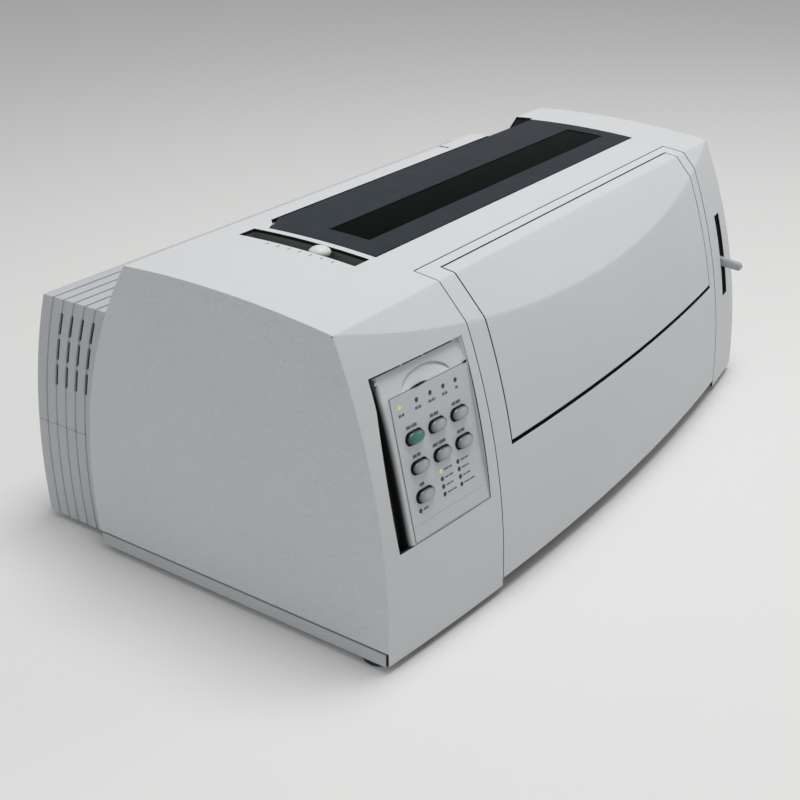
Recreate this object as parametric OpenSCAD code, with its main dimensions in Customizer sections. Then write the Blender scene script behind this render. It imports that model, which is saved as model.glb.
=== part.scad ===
// Wide-carriage dot matrix printer with a bowed front, hinged covers and a keypad.
// Millimetres. +X right, -Y front, +Z up. The origin is on the floor below the middle.

/* [Case] */
// Width of the case at the floor line
case_w = 598; // [570:1:640]
// Depth from the front foot of a side panel to its widest point at the back
case_d = 282; // [270:1:300]
// Height of the straight crease between the top face and the front
crease_z = 232; // [222:1:240]
// Slope of the side walls from the vertical, in degrees
side_draft = 2.2; // [0:0.1:3]
// Wall thickness of the moulded shells
wall = 2.5; // [2:0.1:3.2]
// Seam between two shells
seam = 0.4; // [0.3:0.1:0.8]
// How far the middle of the front stands ahead of its ends
front_bow = 19.3; // [12:0.1:24]
// Radius of the front in side view
front_r = 539; // [480:1:620]
// Height at which the front is upright
front_z = 16.5; // [10:0.5:30]
// Radius of the top face in side view
top_r = 875; // [700:5:1100]
// Distance of the top of the crown behind the front foot
crown_y = 182; // [170:1:195]
// Radius of the back edge in side view
rear_r = 322; // [290:1:360]
// Height of the widest point at the back
rear_z = 61; // [40:1:80]
// Slope of the flat facet below the crease, in degrees
facet_a = 48.2; // [44:0.1:54]
// Height of the bottom edge of the side panels
side_z = 16.4; // [14:0.1:22]
// Height of the bottom edge of the front columns
column_z = 6; // [5:0.5:9]

/* [Front cover and flap] */
// Width of the left front column, from the case's side at the floor
left_column_w = 125.5; // [122:0.5:131]
// Width of the right front column, from the case's side at the floor
right_column_w = 63.5; // [60:0.5:70]
// Bottom edge of the front cover
cover_z = 12.1; // [11:0.1:14]
// Width of the strip of the cover behind the flap
cover_strip = 8; // [7:0.5:10]
// Width of the cover to the left of the paper flap
flap_in0 = 20; // [14:0.5:26]
// Width of the cover to the right of the paper flap
flap_in1 = 16; // [12:0.5:22]
// Distance of the flap's hinged edge behind the front foot
flap_y = 57.2; // [55:0.1:59]
// Height of the flap's lower edge
flap_z = 115.7; // [110:0.1:125]
// Height of the finger gap below the flap
flap_gap = 3; // [2:0.1:6]
// Radius of the rolled hinge edges
roll_r = 2.2; // [1.9:0.1:2.4]
// Radius of the flap and lid pivots
pivot_r = 1.2; // [1:0.1:1.4]
// Radial clearance of a running fit
run = 0.05; // [0.02:0.01:0.1]
// Distance of the front cover's hinge behind the front foot
hinge_y = 0; // [-1:0.5:2]
// Height of the front cover's hinge
hinge_z = 24; // [23:0.5:28]
// Radius of the front cover's hinge pins
hinge_r = 2; // [1.5:0.1:2.4]

/* [Lid] */
// Distance of the lid's front edge behind the front foot
lid_y0 = 97.9; // [94:0.1:100]
// Distance of the lid's hinged edge ahead of the widest point at the back
lid_back = 74; // [71:0.5:80]
// Depth of the lid's rim below its top face
lid_rim = 7; // [5:0.5:9]
// Size of the cut-off back corner of the lid
lid_cut = 13; // [8:0.5:18]
// Width of the lid to the left of the window
window_in0 = 22.5; // [16:0.5:30]
// Width of the lid to the right of the window
window_in1 = 16.5; // [12:0.5:26]
// Front edge of the window
window_y0 = 120.5; // [112:0.5:126]
// Back edge of the window
window_y1 = 157.5; // [150:0.5:166]

/* [Control panel] */
// Distance of the panel's middle from the case's side at the floor
panel_in = 74; // [72:0.5:77]
// Height of the middle of the control panel
panel_z = 135; // [130:0.5:140]
// Width of the label plate
plate_w = 78; // [76:0.5:80]
// Height of the label plate
plate_h = 100; // [98:0.5:102]
// Thickness of the label plate
plate_t = 1.6; // [1.2:0.1:2]
// Length of a button
button_l = 17.2; // [14:0.2:17.4]
// Width of a button
button_w = 9; // [8:0.2:10.4]
// Sideways pitch of the buttons
button_px = 23; // [21:0.2:24]
// Upward pitch of the buttons
button_pz = 20.4; // [18.5:0.2:21]
// Height of a button above the plate
button_up = 3; // [2.5:0.1:3.6]
// Radius of a panel light
light_r = 1.7; // [1.3:0.1:2]

/* [Levers] */
// Gap between the lid and the thickness lever's slot
slot_in = 6.5; // [5:0.5:9]
// Width of the thickness lever's slot
slot_w = 17; // [13:0.5:18]
// Front end of the thickness lever's slot
slot_y0 = 98.5; // [94:0.5:104]
// Distance of the slot's back end ahead of the lid's hinged edge
slot_back = 3.5; // [2:0.5:10]
// Distance of the thickness lever behind the front foot
knob_y = 136; // [130:0.5:150]
// Distance of the paper lever from the case's side at the floor
fork_in = 32; // [28:0.5:37]
// Width of the paper lever's slot
fork_w = 9; // [8:0.5:11]
// Lower end of the paper lever's slot
fork_z0 = 92; // [88:0.5:96]
// Upper end of the paper lever's slot
fork_z1 = 169; // [164:0.5:174]

/* [Rear covers] */
// Distance of the rear cover's back behind the front foot
rear_d = 355; // [345:1:370]
// How far the rear covers lie inside the side walls
rear_in = 12; // [8:0.5:16]
// Height of the flat top of the rear covers
rear_top = 196; // [185:0.5:205]
// Height of the split between the two rear covers
rear_split = 87; // [75:0.5:100]
// Pitch of the grooves in the rear covers
groove_p = 10.8; // [10:0.1:13]
// Depth of a groove
groove_t = 1.2; // [0.8:0.1:1.4]

/* [Mechanism] */
// Radius of the platen
platen_r = 19; // [17:0.5:20]
// Distance of the platen behind the front foot
platen_y = 168; // [164:0.5:172]
// Height of the platen's axis
platen_z = 186; // [180:0.5:190]
// Radius of the platen's shaft
shaft_r = 5; // [4:0.25:6]
// Gap between the front cover's left end and the left mechanism frame
frame_in0 = 8; // [7:0.25:8.5]
// Gap between the front cover's right end and the right mechanism frame
frame_in1 = 11.5; // [9:0.5:14]
// Thickness of the mechanism frames
frame_t = 2; // [1.5:0.1:2.4]
// Distance of the carriage shaft behind the front foot
rail_y = 112; // [108:0.5:114]
// Height of the carriage shaft
rail_z = 152; // [148:0.5:156]
// Radius of the carriage shaft
rail_r = 6; // [5:0.25:7]
// Distance of the carriage's middle from the front cover's left end
carriage_in = 77.5; // [60:0.5:230]
// Width of the carriage
carriage_w = 62; // [56:1:70]
// Height of the tractor shafts
tractor_z = 112; // [106:0.5:116]
// Distance of the tractor drive shaft behind the front foot
tractor_y = 26; // [24:0.5:30]
// Distance between the two tractor shafts
tractor_p = 28; // [24:0.5:30]
// Distance of each tractor's middle from the front cover's end
tractor_in = 45.5; // [40:0.5:60]
// Teeth of the platen gear
gear_n = 48; // [40:1:52]
// Teeth of the feed motor's pinion
pinion_n = 16; // [14:1:18]
// Module of the feed gears
gear_m = 1; // [0.9:0.05:1.05]

/* [Hidden] */
$fn = 64;
big_fn = 360;
eps = 0.01;

cover_x0 = -case_w / 2 + left_column_w;
cover_x1 = case_w / 2 - right_column_w;
flap_x0 = cover_x0 + flap_in0;
flap_x1 = cover_x1 - flap_in1;
lid_y1 = case_d - lid_back;
window_x0 = cover_x0 + window_in0;
window_x1 = cover_x1 - window_in1;
panel_x = -case_w / 2 + panel_in;
slot_x1 = cover_x0 - slot_in;
slot_x0 = slot_x1 - slot_w;
slot_y1 = lid_y1 - slot_back;
fork_x = case_w / 2 - fork_in;
frame_x0 = cover_x0 - frame_in0;
frame_x1 = cover_x1 + frame_in1;
carriage_x = cover_x0 + carriage_in;
tractor_x0 = cover_x0 + tractor_in;
tractor_x1 = cover_x1 - tractor_in;

ledge_t = 2;
exit_w = 84;
exit_over = 5.5;
exit_x1 = cover_x1 + exit_over;
exit_x0 = exit_x1 - exit_w;
notch_in = 58.5;
notch_x = exit_x0 - notch_in;
notch_w = 2.5;
notch_back = 6;
lip_h = 14;
knob_hole_r = 19;

shell_grey = [0.80, 0.81, 0.82];
rib_grey = [0.74, 0.75, 0.76];
charcoal = [0.16, 0.19, 0.22];
black = [0.06, 0.06, 0.07];
steel = [0.70, 0.71, 0.73];
rubber = [0.10, 0.10, 0.11];
button_grey = [0.66, 0.67, 0.69];
button_green = [0.05, 0.52, 0.45];
light_green = [0.72, 0.90, 0.20];
plate_grey = [0.78, 0.79, 0.80];
board_green = [0.10, 0.35, 0.20];
ivory = [0.88, 0.88, 0.85];

// Distance from the origin's plane to the front foot of the side panels
foot_y = front_bow - (rear_d + front_bow) / 2;
// Plan radius of the bow, whose chord is the top of the case
bow_x = case_w / 2 - crease_z * tan(side_draft);
bow_r = (bow_x * bow_x + front_bow * front_bow) / (2 * front_bow);
bow_cy = bow_r - front_bow;
bow_a = 10;
crease_y = front_r - sqrt(front_r * front_r - pow(crease_z - front_z, 2));
crown_z = crease_z - sqrt(top_r * top_r - pow(crown_y - crease_y, 2)) + top_r;
bands = 17;
opening_x0 = cover_x0 - seam;
opening_x1 = cover_x1 + seam;
strip_y = flap_y + seam + cover_strip;

// Half the width of the case at a height
function half_w(z) = case_w / 2 - z * tan(side_draft);
// Height of the top face, or of a face at a depth below it, at a distance from the front foot
function top_z(y, depth = 0) =
    crown_z - top_r + sqrt(pow(top_r - depth, 2) - pow(y - crown_y, 2));
// Plan radius of the front at a height
function front_rad(z, inset = 0) =
    bow_r - front_r + sqrt(pow(front_r - inset, 2) - pow(z - front_z, 2));
// Distance of the bowed front from the front foot
function front_y(x, z, inset = 0) =
    bow_cy - sqrt(pow(front_rad(z, inset), 2) - x * x);
// Distance of the back edge from the front foot
function back_y(z, inset = 0) =
    case_d - rear_r + sqrt(pow(rear_r - inset, 2) - pow(z - rear_z, 2));

module at_foot() {
    translate([0, foot_y, 0]) children();
}

// A side view, drawn in Y and Z, made solid from x0 to x1
module along_x(x0, x1) {
    translate([x0, 0, 0]) rotate([90, 0, 90]) linear_extrude(x1 - x0) children();
}

module block(x0, x1, y0, y1, z0, z1) {
    translate([x0, y0, z0]) cube([x1 - x0, y1 - y0, z1 - z0]);
}

module rod(x0, x1, y, z, r) {
    translate([x0, y, z]) rotate([0, 90, 0]) cylinder(h = x1 - x0, r = r);
}

// The top arc, the facet and the back arc in side view
module side_outline(inset = 0) {
    intersection() {
        translate([crown_y, crown_z - top_r]) circle(r = top_r - inset, $fn = big_fn);
        translate([case_d - rear_r, rear_z]) circle(r = rear_r - inset, $fn = big_fn);
        translate([crease_y, crease_z]) rotate(facet_a)
            translate([-case_d, -2 * case_d - inset]) square([3 * case_d, 2 * case_d]);
    }
}

// Everything behind the bowed front
module bowed_block(inset = 0) {
    zs = [for (i = [-1:bands + 1]) i * crease_z / bands];
    translate([0, bow_cy, 0]) rotate([0, 0, -90 - bow_a])
        rotate_extrude(angle = 2 * bow_a, $fn = 2 * big_fn)
            polygon(concat([for (z = zs) [front_rad(z, inset), z]],
                [[bow_r - 1.3 * case_d, crease_z * (1 + 1 / bands)],
                 [bow_r - 1.3 * case_d, -crease_z / bands]]));
}

module case_core(inset = 0) {
    intersection() {
        along_x(-case_w / 2, case_w / 2) side_outline(inset);
        bowed_block(inset);
    }
}

// Everything between the sloping side walls
module between_sides(inset = 0) {
    top = crown_z + 20;
    translate([0, 2 * case_d, 0]) rotate([90, 0, 0]) linear_extrude(3 * case_d)
        polygon([[-half_w(0) + inset, 0], [half_w(0) - inset, 0],
            [half_w(top) - inset, top], [-half_w(top) + inset, top]]);
}

module case_skin() {
    difference() {
        case_core();
        case_core(wall);
    }
}

// A side wall with a return along its back edge, which closes the step to the rear covers
module side_panel(left) {
    x = left ? -case_w : 0;
    difference() {
        intersection() {
            case_core();
            between_sides();
            block(x, x + case_w, -front_bow, 2 * case_d, side_z, crown_z + 1);
        }
        between_sides(wall);
    }
    difference() {
        intersection() {
            difference() {
                along_x(x, x + case_w) side_outline();
                along_x(x, x + case_w) side_outline(wall);
            }
            between_sides(wall - eps);
            block(x, x + case_w, crown_y, 2 * case_d, side_z, crown_z - lip_h - run);
        }
        between_sides(rear_in - run);
    }
}

module left_side_panel() {
    color(shell_grey) at_foot() side_panel(true);
}

module right_side_panel() {
    color(shell_grey) at_foot() difference() {
        side_panel(false);
        rod(0, case_w, platen_y, platen_z, knob_hole_r);
    }
}

// The outline of the lid in plan, grown by a clearance
module lid_plan(grow = 0) {
    x0 = cover_x0 - grow;
    x1 = cover_x1 + grow;
    y0 = lid_y0 - grow;
    y1 = lid_y1 + grow;
    polygon([[x0, y0], [x1, y0], [x1, y1], [x0 + 2 * lid_cut, y1], [x0, y1 - lid_cut]]);
}

swing_x = 9;
swing_y = 8.7;

// Room in which the lid's cut corner swings back beside its hinge
module lid_swing_room() {
    x1 = cover_x0 + 2 * lid_cut;
    polygon([[x1 - 2 * swing_y, lid_y1 - swing_y], [x1, lid_y1 - seam], [x1, lid_y1 + seam],
        [x1 - swing_x, lid_y1 + seam]]);
}

module top_shell() {
    color(shell_grey) at_foot() difference() {
        union() {
            intersection() {
                difference() {
                    along_x(-case_w / 2, case_w / 2) side_outline();
                    along_x(-case_w / 2, case_w / 2) side_outline(wall);
                }
                between_sides(wall + run);
                block(-case_w, case_w, crease_y, case_d, crown_z - lip_h, crown_z + 1);
            }
            lid_ledge();
        }
        block(opening_x0, opening_x1, 0, strip_y + seam, 0, crown_z + 1);
        translate([0, 0, crown_z - 2 * lip_h]) linear_extrude(4 * lip_h) {
            lid_plan(seam);
            lid_swing_room();
        }
        block(slot_x0, slot_x1, slot_y0, slot_y1, 0, crown_z + 1);
        block(exit_x0, exit_x1, lid_y1, case_d, 0, crown_z + 1);
        block(notch_x, notch_x + notch_w, lid_y1 + notch_back, case_d, 0, crown_z + 1);
    }
    color(shell_grey) at_foot() for (x = knuckle_xs) lid_knuckle(x);
}

pivot_l = 3;
lid_pivot_y = lid_y1 - roll_r;
lid_pivot_z = top_z(lid_pivot_y, roll_r);
flap_pivot_y = flap_y - roll_r;
flap_pivot_z = top_z(flap_pivot_y, roll_r);

// A wall hanging below each end of the lid's opening
module lid_ledge() {
    for (x = [opening_x0 - ledge_t, opening_x1])
        intersection() {
            along_x(x, x + ledge_t) side_outline(wall - eps);
            block(x, x + ledge_t, lid_y0, lid_y1,
                crown_z - lip_h, crown_z);
        }
}

knuckle_in0 = 53.5;
knuckle_in1 = 27;
knuckle_xs = [cover_x0 + knuckle_in0, exit_x0 - knuckle_in1];
knuckle_w = 8;

// A knuckle of the back strip that the lid's rod turns in
module lid_knuckle(x) {
    difference() {
        union() {
            rod(x, x + knuckle_w, lid_pivot_y, lid_pivot_z, roll_r);
            intersection() {
                block(x, x + knuckle_w, lid_pivot_y, lid_y1 + seam + 1,
                    lid_pivot_z - roll_r, crown_z);
                along_x(x, x + knuckle_w) side_outline(wall / 2);
            }
        }
        rod(x - 1, x + knuckle_w + 1, lid_pivot_y, lid_pivot_z, pivot_r + run);
    }
}

return_t = 2.5;
return_d = 20;
return_z = 8;

// A front column between a side wall and the front cover, with a return wall at return_x
module column(x0, x1, return_x) {
    intersection() {
        union() {
            case_skin();
            intersection() {
                case_core(wall - eps);
                block(return_x, return_x + return_t, -front_bow, return_d, return_z, crease_z);
            }
        }
        between_sides(wall + run);
        block(x0, x1, -front_bow - 1, crease_y - run, column_z, crease_z + 1);
    }
}

panel_recess = 3.2;
panel_rad = front_rad(panel_z);
panel_yaw = asin(panel_x / panel_rad);
panel_tilt = -asin((panel_z - front_z) / front_r);
plate_z1 = plate_h / 2;
pocket_u0 = -52;
pocket_u1 = 41;
pocket_w0 = -plate_h / 2 - 1;
pocket_w1 = 68.5;

// The control panel's own frame: X along it, Y into it and Z up it
module on_panel() {
    translate([panel_x, foot_y + front_y(panel_x, panel_z), panel_z])
        rotate([0, 0, panel_yaw]) rotate([panel_tilt, 0, 0])
            translate([0, panel_recess, 0]) children();
}

module left_column() {
    color(shell_grey) difference() {
        at_foot() difference() {
            column(-case_w / 2, opening_x0, opening_x0 - return_t);
            rod(opening_x0 - 2 * return_t, opening_x0 + 1, hinge_y, hinge_z, hinge_r);
        }
        on_panel() block(pocket_u0, pocket_u1, -20, 20, pocket_w0, pocket_w1);
    }
}

module right_column() {
    color(shell_grey) at_foot() difference() {
        column(opening_x1, case_w / 2, opening_x1);
        rod(opening_x1 - 1, opening_x1 + 2 * return_t, hinge_y, hinge_z, hinge_r);
        block(fork_x - fork_w / 2, fork_x + fork_w / 2, -front_bow - 1,
            crease_y, fork_z0, fork_z1);
    }
}

ear_t = 4;
ear_r = 5;
ear_inset = 0.6;
flap_ear_r = 4;

module cover_hinge_pins() {
    color(steel) at_foot() {
        rod(opening_x0 - return_t, cover_x0 + ear_t, hinge_y, hinge_z, hinge_r);
        rod(cover_x1 - ear_t, opening_x1 + return_t, hinge_y, hinge_z, hinge_r);
    }
}

// The ear at one end of the front cover that turns on a hinge pin
module cover_ear(x) {
    difference() {
        intersection() {
            union() {
                rod(x, x + ear_t, hinge_y, hinge_z, ear_r);
                block(x, x + ear_t, -front_bow, hinge_y, hinge_z - ear_r, hinge_z + ear_r);
            }
            case_core(ear_inset);
        }
        rod(x - 1, x + ear_t + 1, hinge_y, hinge_z, hinge_r + run);
    }
}

// The blocks beside the flap that its pivots turn in
module flap_ear(x) {
    intersection() {
        along_x(x, x + pivot_l + 1) side_outline(ear_inset);
        block(x, x + pivot_l + 1, flap_pivot_y - flap_ear_r, flap_y + cover_strip - 1,
            flap_pivot_z - flap_ear_r, crown_z);
    }
}

module front_cover() {
    color(shell_grey) at_foot() difference() {
        union() {
            intersection() {
                case_skin();
                block(cover_x0, cover_x1, -front_bow - 1, strip_y, cover_z, crown_z + 1);
            }
            cover_ear(cover_x0);
            cover_ear(cover_x1 - ear_t);
            flap_ear(flap_x0 - seam - pivot_l - 1);
            flap_ear(flap_x1 + seam);
        }
        block(flap_x0 - seam, flap_x1 + seam, -front_bow - 1, flap_y + seam,
            flap_z - flap_gap, crown_z + 1);
        rod(flap_x0 - seam - pivot_l - run, flap_x1 + seam + pivot_l + run,
            flap_pivot_y, flap_pivot_z, pivot_r + run);
    }
}

module front_flap() {
    color(shell_grey) at_foot() {
        intersection() {
            case_skin();
            block(flap_x0, flap_x1, -front_bow - 1, flap_pivot_y, flap_z, crown_z + 1);
        }
        rod(flap_x0, flap_x1, flap_pivot_y, flap_pivot_z, roll_r);
        rod(flap_x0 - pivot_l, flap_x1 + pivot_l, flap_pivot_y, flap_pivot_z, pivot_r);
    }
}

window_t = 2;
window_drop = 0.5;

module lid() {
    color(charcoal) at_foot() {
        difference() {
            union() {
                intersection() {
                    difference() {
                        along_x(cover_x0, cover_x1) side_outline();
                        along_x(cover_x0, cover_x1) side_outline(wall);
                    }
                    lid_prism(0);
                }
                intersection() {
                    along_x(cover_x0, cover_x1) side_outline(wall - eps);
                    difference() {
                        lid_prism(0);
                        lid_prism(-wall);
                    }
                    block(cover_x0, cover_x1, lid_y0, lid_pivot_y - lid_rim,
                        top_z(lid_y0) - lid_rim, crown_z);
                }
            }
            block(window_x0, window_x1, window_y0, window_y1, 0, crown_z + 1);
            lid_knuckle_gaps();
        }
        difference() {
            rod(cover_x0 + 2 * lid_cut, cover_x1, lid_pivot_y, lid_pivot_z, roll_r);
            lid_knuckle_gaps();
        }
        rod(cover_x0 + 2 * lid_cut, cover_x1, lid_pivot_y, lid_pivot_z, pivot_r);
    }
}

// The room that the knuckles take from the lid's rolled edge
module lid_knuckle_gaps() {
    for (x = knuckle_xs)
        rod(x - seam, x + knuckle_w + seam, lid_pivot_y, lid_pivot_z, roll_r + seam);
}

// The lid's plan made solid, short of its rolled edge
module lid_prism(grow) {
    intersection() {
        linear_extrude(crown_z + 1) lid_plan(grow);
        block(cover_x0, cover_x1, 0, lid_pivot_y + grow, 0, crown_z + 1);
    }
}

module lid_window() {
    color(black) at_foot() intersection() {
        difference() {
            along_x(window_x0 + run, window_x1 - run) side_outline(window_drop);
            along_x(window_x0 + run, window_x1 - run) side_outline(window_drop + window_t);
        }
        block(window_x0, window_x1, window_y0 + run, window_y1 - run, 0, crown_z + 1);
    }
}

rear_r2 = 420;
rear_z2 = 56;
rear_in_y = 28;
rear_y0 = case_d - rear_in_y;
rear_z0 = 5;
groove_w = 1.6;
groove_count = 6;
groove_in = 10.1;
vent_w = 3;
vent_h = 18;
vent_gap = 4;
vent_rows = 3;
vent_top = rear_top - 12;

// Everything inside the outline of the rear covers
module rear_block(inset = 0, y0 = rear_y0) {
    intersection() {
        along_x(-case_w / 2, case_w / 2) intersection() {
            translate([rear_d - rear_r2, rear_z2])
                circle(r = rear_r2 - inset, $fn = big_fn);
            translate([y0, -1]) square([2 * rear_d, rear_top - inset + 1]);
        }
        between_sides(rear_in + inset);
    }
}

// A strip of side view that follows the back arc, from a depth below it and w wide
module back_strip(depth, w) {
    translate([rear_d - rear_r2, rear_z2]) difference() {
        circle(r = rear_r2 - depth, $fn = big_fn);
        circle(r = rear_r2 - depth - w, $fn = big_fn);
    }
}

// The grooves round the rear covers, each at one depth below the back arc
module rear_grooves() {
    difference() {
        for (i = [0:groove_count - 1])
            along_x(-case_w, case_w) back_strip(groove_in + i * groove_p, groove_w);
        rear_block(groove_t, 0);
    }
}

module rear_shell(z0, z1) {
    difference() {
        intersection() {
            rear_block();
            block(-case_w, case_w, 0, 2 * case_d, z0, z1);
        }
        rear_block(wall, 0);
        rear_grooves();
    }
}

// Three rows of slots in each side wall, along all grooves but the last
module rear_vents() {
    for (i = [1:groove_count - 1])
        along_x(-case_w, case_w) intersection() {
            back_strip(groove_in + i * groove_p - (vent_w - groove_w) / 2, vent_w);
            for (j = [1:vent_rows])
                translate([0, vent_top - j * vent_h - (j - 1) * vent_gap])
                    square([2 * rear_d, vent_h]);
        }
}

module rear_cover() {
    color(rib_grey) at_foot() difference() {
        rear_shell(rear_split + seam, rear_top);
        rear_vents();
    }
}

supply_in = 25;
supply_gap = 10.5;
supply_x0 = -case_w / 2 + supply_in;
supply_x1 = frame_x0 - supply_gap;
inlet_in = 34;
inlet_x = supply_x0 + inlet_in;
inlet_z = 42;
inlet_w = 30;
inlet_h = 22;
switch_p = 34;
switch_x = inlet_x + switch_p;
switch_w = 13;
switch_h = 21;
board_in0 = 8.5;
board_in1 = 10.5;
board_x0 = cover_x0 + board_in0;
board_x1 = cover_x1 - board_in1;
socket_in = 105;
socket_x = board_x1 - socket_in;
socket_z = 36;
socket_w = 58;
socket_h = 15;
port_gap = 0.3;
port_d = 30;

module rear_base_cover() {
    color(rib_grey) at_foot() difference() {
        rear_shell(rear_z0, rear_split);
        port_hole(inlet_x, inlet_z, inlet_w, inlet_h);
        port_hole(switch_x, inlet_z, switch_w + 2, switch_h + 2);
        port_hole(socket_x, socket_z, socket_w, socket_h);
    }
}

module port_hole(x, z, w, h) {
    block(x - w / 2 - port_gap, x + w / 2 + port_gap, rear_d - port_d, rear_d + 1,
        z - h / 2 - port_gap, z + h / 2 + port_gap);
}

pan_z0 = 4.5;
pan_t = 3;
pan_y0 = 14;
rim_z1 = side_z - 2;
rim_w = 9;
upstand_t = 2;
upstand_z1 = 28;
foot_r = 13;
foot_in = 15;
foot_back = 18;

module base_pan() {
    color(rib_grey) at_foot() {
        block(-half_w(0) + rim_w, half_w(0) - rim_w, pan_y0, rear_y0, pan_z0, pan_z0 + pan_t);
        intersection() {
            rear_block(wall + run, rear_y0 - eps);
            block(-case_w, case_w, 0, 2 * case_d, pan_z0, pan_z0 + pan_t);
        }
        difference() {
            intersection() {
                along_x(-case_w / 2, case_w / 2) side_outline(1);
                between_sides(seam);
                block(-case_w, case_w, pan_y0 / 4, 2 * case_d, pan_z0, rim_z1);
            }
            between_sides(rim_w + seam);
        }
        difference() {
            intersection() {
                between_sides(wall + seam);
                block(-case_w, case_w, pan_y0, rear_y0, rim_z1 - eps, upstand_z1);
            }
            between_sides(wall + seam + upstand_t);
        }
    }
}

module feet() {
    color(rubber) at_foot() for (s = [-1, 1]) {
        translate([s * (half_w(0) - foot_in), foot_back, 0])
            cylinder(h = pan_z0, r = foot_r);
        translate([s * (half_w(0) - rear_in - 2 * foot_in), rear_d - 2 * foot_back, 0])
            cylinder(h = pan_z0, r = foot_r);
    }
}

guide_in = 18;
guide_y0 = lid_y1 - guide_in;
guide_z0 = 211;
guide_y1 = rear_y0 - 1;
guide_z1 = 199;
guide_t = 2;

module paper_exit_guide() {
    color(black) at_foot() intersection() {
        along_x(-case_w / 2, case_w / 2)
            polygon([[guide_y0, guide_z0], [guide_y1, guide_z1],
                [guide_y1, guide_z1 - guide_t], [guide_y0, guide_z0 - guide_t]]);
        between_sides(rear_in + run);
    }
}

tray_t = 2.4;
tray_d = 14;
tray_gap = 0.5;
tray_y = 5;
tray_flange = 4;
plate_shift = 0.5;
channel_w = 9.5;
ramp_d = 5;
light_u = [-31, -14.4, -0.7, 12.7, 25.6];
light_w = 42;
status_w = [-13, -18.5, -24, -29.5];
status_u = [-3.6, 14.4];
corner_light = [-29.2, -31];
button_w0 = 19;
button_u0 = -22.6;
board_y = 12;
button_flange = 1.5;
button_gap = 0.3;
flange_t = 1.2;
button_stem_l = 3;
button_stem_r = 2;
light_up = 0.4;
board_t = 1.6;
key_r = 3;

// A round-ended prism from y0 to y1, as long as l and as wide as w
module oval(l, w, y0, y1) {
    translate([0, y1, 0]) rotate([90, 0, 0]) linear_extrude(y1 - y0) {
        square([l - w, w], center = true);
        for (s = [-1, 1]) translate([s * (l - w) / 2, 0]) circle(d = w);
    }
}

// Column and row of each button on the panel
button_places = [[0, 0], [1, 0], [2, 0], [0, 1], [1, 1], [2, 1], [0, 2]];

module at_button(i) {
    translate([button_u0 + button_places[i][0] * button_px, 0,
        button_w0 - button_places[i][1] * button_pz]) children();
}

module button_holes(grow) {
    for (i = [0:len(button_places) - 1])
        at_button(i) oval(button_l + 2 * grow, button_w + 2 * grow, -1, tray_d);
}

// Places of the panel lights: a top row, two columns at the bottom and one in the corner
light_places = concat([for (u = light_u) [u, light_w]],
    [for (u = status_u, w = status_w) [u, w]], [corner_light]);

module light_holes(grow) {
    for (p = light_places)
        translate([p[0], 0, p[1]]) rotate([-90, 0, 0])
            translate([0, 0, -1]) cylinder(h = tray_d, r = light_r + grow);
}

module control_panel() {
    u0 = pocket_u0 + tray_gap;
    u1 = pocket_u1 - tray_gap;
    w0 = pocket_w0 + tray_gap;
    w1 = pocket_w1 - tray_gap;
    color(plate_grey) on_panel() difference() {
        union() {
            difference() {
                block(u0, u1, plate_t, tray_d, w0, w1);
                block(u0 + tray_t, u1 - tray_t, plate_t + tray_t, tray_d + 1,
                    w0 + tray_t, plate_z1 - tray_t);
            }
            block(u0 - tray_flange, u1 + tray_flange, tray_y, tray_y + tray_t,
                w0 - tray_flange, w1 + tray_flange / 2);
        }
        block(u0 + tray_t, u1 - tray_t, tray_y - 1, tray_d + 1, w0 + tray_t, plate_z1 - tray_t);
        block(u0 + tray_t, u0 + channel_w, -1, tray_t + plate_t + eps, w0 + tray_t,
            plate_z1 - tray_t);
        translate([u0 - 1, plate_t, plate_z1]) rotate([0, 90, 0])
            linear_extrude(u1 - u0 + 2)
                polygon([[0, -ramp_d], [0, 0], [plate_z1 - w1 - 1, ramp_d],
                    [plate_z1 - w1 - 1, -ramp_d]]);
        button_holes(button_gap);
        light_holes(0);
    }
}

module label_plate() {
    color(plate_grey) on_panel() difference() {
        block(plate_shift - plate_w / 2, plate_shift + plate_w / 2, 0, plate_t,
            -plate_h / 2, plate_z1);
        button_holes(button_gap);
        light_holes(0);
    }
}

module button(i) {
    flange_y = plate_t + tray_t + button_gap;
    on_panel() at_button(i) {
        oval(button_l, button_w, -button_up, flange_y);
        oval(button_l + 2 * button_flange, button_w + 2 * button_flange,
            flange_y - eps, flange_y + flange_t);
        rotate([-90, 0, 0]) translate([0, 0, flange_y])
            cylinder(h = button_stem_l, r = button_stem_r);
    }
}

module start_button() { color(button_green) button(0); }
module line_feed_button() { color(button_grey) button(1); }
module form_feed_button() { color(button_grey) button(2); }
module tear_off_button() { color(button_grey) button(3); }
module load_button() { color(button_grey) button(4); }
module tractor_button() { color(button_grey) button(5); }
module font_button() { color(button_grey) button(6); }

module panel_lights() {
    color(light_green) on_panel() for (p = light_places)
        translate([p[0], 0, p[1]]) rotate([-90, 0, 0])
            translate([0, 0, -light_up]) cylinder(h = board_y + light_up, r = light_r - run);
}

module panel_board() {
    color(board_green) on_panel() {
        block(pocket_u0 + tray_gap + tray_t, pocket_u1 - tray_gap - tray_t, board_y,
            board_y + board_t, pocket_w0 + tray_gap + tray_t, plate_z1 - tray_t);
        for (i = [0:len(button_places) - 1])
            at_button(i) block(-key_r, key_r, board_y - key_r, board_y + eps, -key_r, key_r);
    }
}

guide_wall = 2;
guide_h = 18;
knob_l = 13;
knob_sink = 3;
stem_t = 5;

module lever_guide() {
    color(charcoal) at_foot() difference() {
        intersection() {
            along_x(slot_x0 - guide_wall, slot_x1 + guide_wall) side_outline(wall + run);
            block(slot_x0 - guide_wall, slot_x1 + guide_wall, slot_y0 - guide_wall,
                slot_y1 + guide_wall, crown_z - guide_h - wall, crown_z);
        }
        block(slot_x0, slot_x1, slot_y0, slot_y1, crown_z - guide_h, crown_z);
    }
}

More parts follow.
